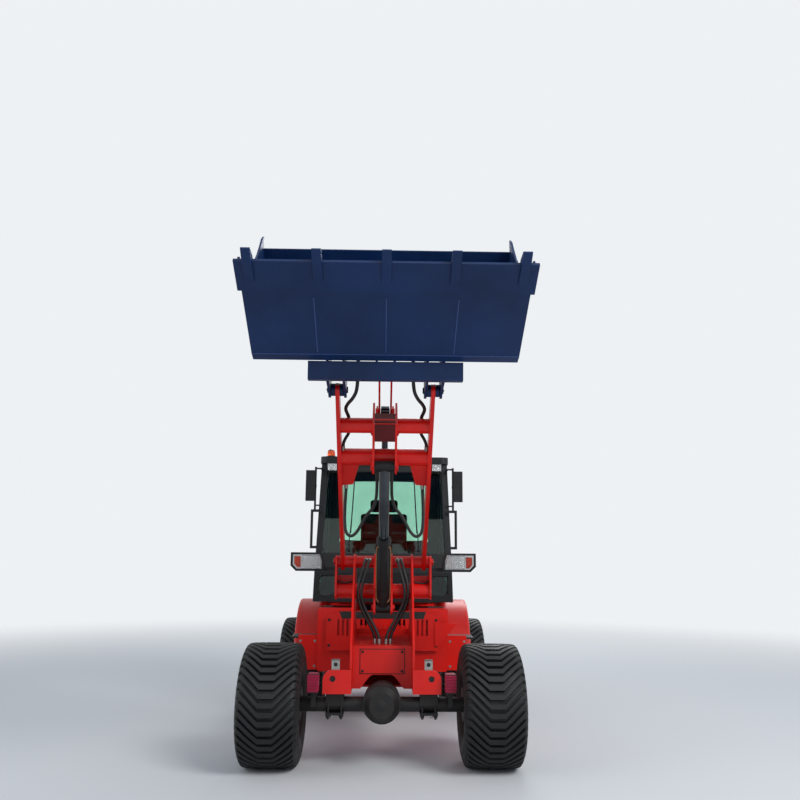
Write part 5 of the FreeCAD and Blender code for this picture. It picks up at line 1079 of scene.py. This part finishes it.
def seat_base():
    """The stand's foot, pan, head-rest rods and back plate, and rubber bellows between foot and pan."""
    foot = block((-0.165, 1.045, 1.037), (0.165, 1.335, 1.075), 0.004)
    pan = block((-0.17, 1.04, 1.27), (0.17, 1.34, 1.303), 0.004)
    rods = [block((low, 1.355, 1.70), (high, 1.372, 1.80), 0.003) for low, high in ((-0.05, -0.035), (0.035, 0.05))]
    back = block((-0.15, 1.33, 1.28), (0.15, 1.41, 1.40), 0.006)
    finish_mesh("seat_stand", joined(foot, pan, *rods, back), moulded_abs, "rear_frame", 30)
    inner, outer, pitch = 0.150, 0.160, 0.016
    folds = [(0.012 + pitch * k, outer if k % 2 else inner) for k in range(11)]
    bellows = lathe([(0.0, outer)] + folds + [(0.190, 0.156)], (0, 1.19, 1.078), UP, 4)
    finish_mesh("seat_bellows", bellows, seal_rubber, "rear_frame", 20)


# Steps and rear: raised studs, bolt heads, handle

def step_studs(side, sign, level, z):
    """Rows of raised studs on a step: one row is repeated across the step."""
    low, high = span(sign, 0.570, 0.578)
    stud = block((low, 0.580, z - 0.0005), (high, 0.606, z + 0.0022), 0.001)
    row = run_tree(row_of_ribs, stud, "studs", zinc_steel, None, None, 20, count=8, step=(sign * 0.024, 0.0, 0.0))
    mesh = row.data.copy()
    bpy.data.objects.remove(row)
    run_tree(row_of_ribs, mesh, "step_studs_%s_%s" % (level, side), black_enamel, "rear_frame", "black_paint", 20,
             count=5, step=(0.0, 0.042, 0.0))


def weight_bolts():
    """Four bolt heads in the counterweight's back."""
    spots = landings(("counterweight", (sign * x, 4.0, 0.50), FORWARD) for sign in (-1, 1) for x in (0.25, 0.45))
    bolts("weight_bolts", "rear_frame", zinc_steel, spots, 0.018, 0.008)


def hood_handle():
    """A bent rod on the hood's back."""
    route = [(x, y, 1.10) for x, y in ((-0.07, 2.26), (-0.07, 2.3075), (0.07, 2.3075), (0.07, 2.26))]
    finish_mesh("hood_handle", tube(straight(route, 0.01), 0.007), moulded_abs, "hood", 50)


finish_nodes()
for wheel, (x, y) in WHEELS.items():
    dress_wheel(wheel, x, y)
for side, sign in SIDES:
    headlamp(side, sign)
for side, sign in SIDES:
    work_lamp(side, sign)
    mirror_face(side, sign)
beacon()
tower_hoses()
for side, sign in SIDES:
    boom_hoses(side, sign)
differential("front", -0.730, -1)
differential("rear", 1.476, 1)
for side, sign in SIDES:
    caliper(side, sign)
    ear_fittings(side, sign)
nose_plate_bolts()
lift_gland()
lift_pipes()
lift_rod_eye()
bracket_shade_plates()
nose_plate_gasket()
tip_collars()
floor_welds()
pin_bolts()
for side, sign in SIDES:
    tower_cable(side, sign)
    fender_skirt(side, sign)
panel_apron()
panel_gusset()
panel_bolts()
seal("cab_seals", ["windshield", "lower_windows", "rear_windows"], "rear_frame")
seal("door_seal_left", ["door_glass_left"], "door_left", 0.006)
seal("door_seal_right", ["door_glass_right"], "door_right", 0.006)
for side, sign in SIDES:
    wiper(side, sign)
dash_and_consoles()
seat_pads()
seat_base()
for side, sign in SIDES:
    for level, z in (("low", 0.454), ("high", 0.704)):
        step_studs(side, sign, level, z)
weight_bolts()
hood_handle()


# Stage: pale floor, soft lamps, camera

def stage_floor():
    """A pale floor that fades into the white backdrop."""
    material = bpy.data.materials.new("pale_floor")
    material.use_nodes = True
    tree = material.node_tree
    tree.nodes.clear()
    place = add(tree, "ShaderNodeTexCoord")
    flat = add(tree, "ShaderNodeVectorMath", {1: (1.0, 1.0, 0.0)}, {0: place.outputs["Object"]},
               operation="MULTIPLY")
    far = add(tree, "ShaderNodeVectorMath", links={0: flat.outputs["Vector"]}, operation="LENGTH")
    fade = add(tree, "ShaderNodeMapRange", {"From Min": 4.5, "From Max": 12.0}, {"Value": far.outputs["Value"]},
               interpolation_type="SMOOTHSTEP")
    plain = add(tree, "ShaderNodeBsdfDiffuse", {"Color": linear("#D9DBDD")})
    glow = add(tree, "ShaderNodeEmission", {"Color": linear("#EEF1F4"), "Strength": 1.0})
    mix = add(tree, "ShaderNodeMixShader", links={0: fade.outputs["Result"], 1: plain.outputs["BSDF"],
                                                  2: glow.outputs["Emission"]})
    add(tree, "ShaderNodeOutputMaterial", links={"Surface": mix.outputs["Shader"]})
    half = 60
    floor = raw_mesh([(-half, -half, 0), (half, -half, 0), (half, half, 0), (-half, half, 0)], [[0, 1, 2, 3]])
    floor.materials.append(material)
    piece = bpy.data.objects.new("floor", floor)
    context.scene.collection.objects.link(piece)


def sky():
    """A soft even light, and a pale backdrop where the camera, glass and metal look at it."""
    world = bpy.data.worlds.new("soft_sky")
    context.scene.world = world
    world.use_nodes = True
    tree = world.node_tree
    tree.nodes.clear()
    soft = add(tree, "ShaderNodeBackground", {"Color": linear("#DCE6F2"), "Strength": 0.52})
    shown = add(tree, "ShaderNodeBackground", {"Color": linear("#EEF1F4"), "Strength": 1.0})
    path = add(tree, "ShaderNodeLightPath")
    seen = add(tree, "ShaderNodeMath",
               links={0: path.outputs["Is Camera Ray"], 1: path.outputs["Is Transmission Ray"]},
               operation="MAXIMUM")
    both = add(tree, "ShaderNodeMath", links={0: seen.outputs["Value"], 1: path.outputs["Is Glossy Ray"]},
               operation="MAXIMUM")
    mix = add(tree, "ShaderNodeMixShader", links={0: both.outputs["Value"], 1: soft.outputs["Background"],
                                                  2: shown.outputs["Background"]})
    add(tree, "ShaderNodeOutputWorld", links={"Surface": mix.outputs["Shader"]})


def soft_lamp(name, place, aim, size, power):
    """A square lamp that looks at its aim."""
    lamp = bpy.data.lights.new(name, "AREA")
    lamp.size = size
    lamp.energy = power
    thing = bpy.data.objects.new(name, lamp)
    thing.location = place
    thing.rotation_mode = "QUATERNION"
    thing.rotation_quaternion = (Vector(aim) - Vector(place)).to_track_quat("-Z", "Y")
    context.scene.collection.objects.link(thing)


stage_floor()
sky()
soft_lamp("key", (5.5, -6.5, 7.0), (0, -0.6, 1.3), 4.0, 560)
soft_lamp("fill", (-6.5, -4.0, 4.5), (0, -0.3, 1.3), 5.0, 110)
soft_lamp("back", (2.0, 7.5, 6.5), (0, 0.5, 1.5), 4.0, 240)

# Camera low in front of the machine, looking up at it
YAW, PITCH, ROLL = math.radians(1.1), math.radians(11.03), math.radians(0.45)
camera_data = bpy.data.cameras.new("camera")
camera_data.sensor_width = 36.0
camera_data.lens = 35.1
camera = bpy.data.objects.new("camera", camera_data)
look = Vector((math.sin(YAW) * math.cos(PITCH), math.cos(YAW) * math.cos(PITCH), math.sin(PITCH)))
right = Vector((math.cos(YAW), -math.sin(YAW), 0.0))
turned = Matrix.Rotation(-ROLL, 3, look) @ Matrix((right, right.cross(look), -look)).transposed()
camera.matrix_world = Matrix.Translation((0.0, -6.237, 1.403)) @ turned.to_4x4()
context.scene.collection.objects.link(camera)
context.scene.camera = camera
context.scene.view_settings.view_transform = "Standard"

context.view_layer.update()
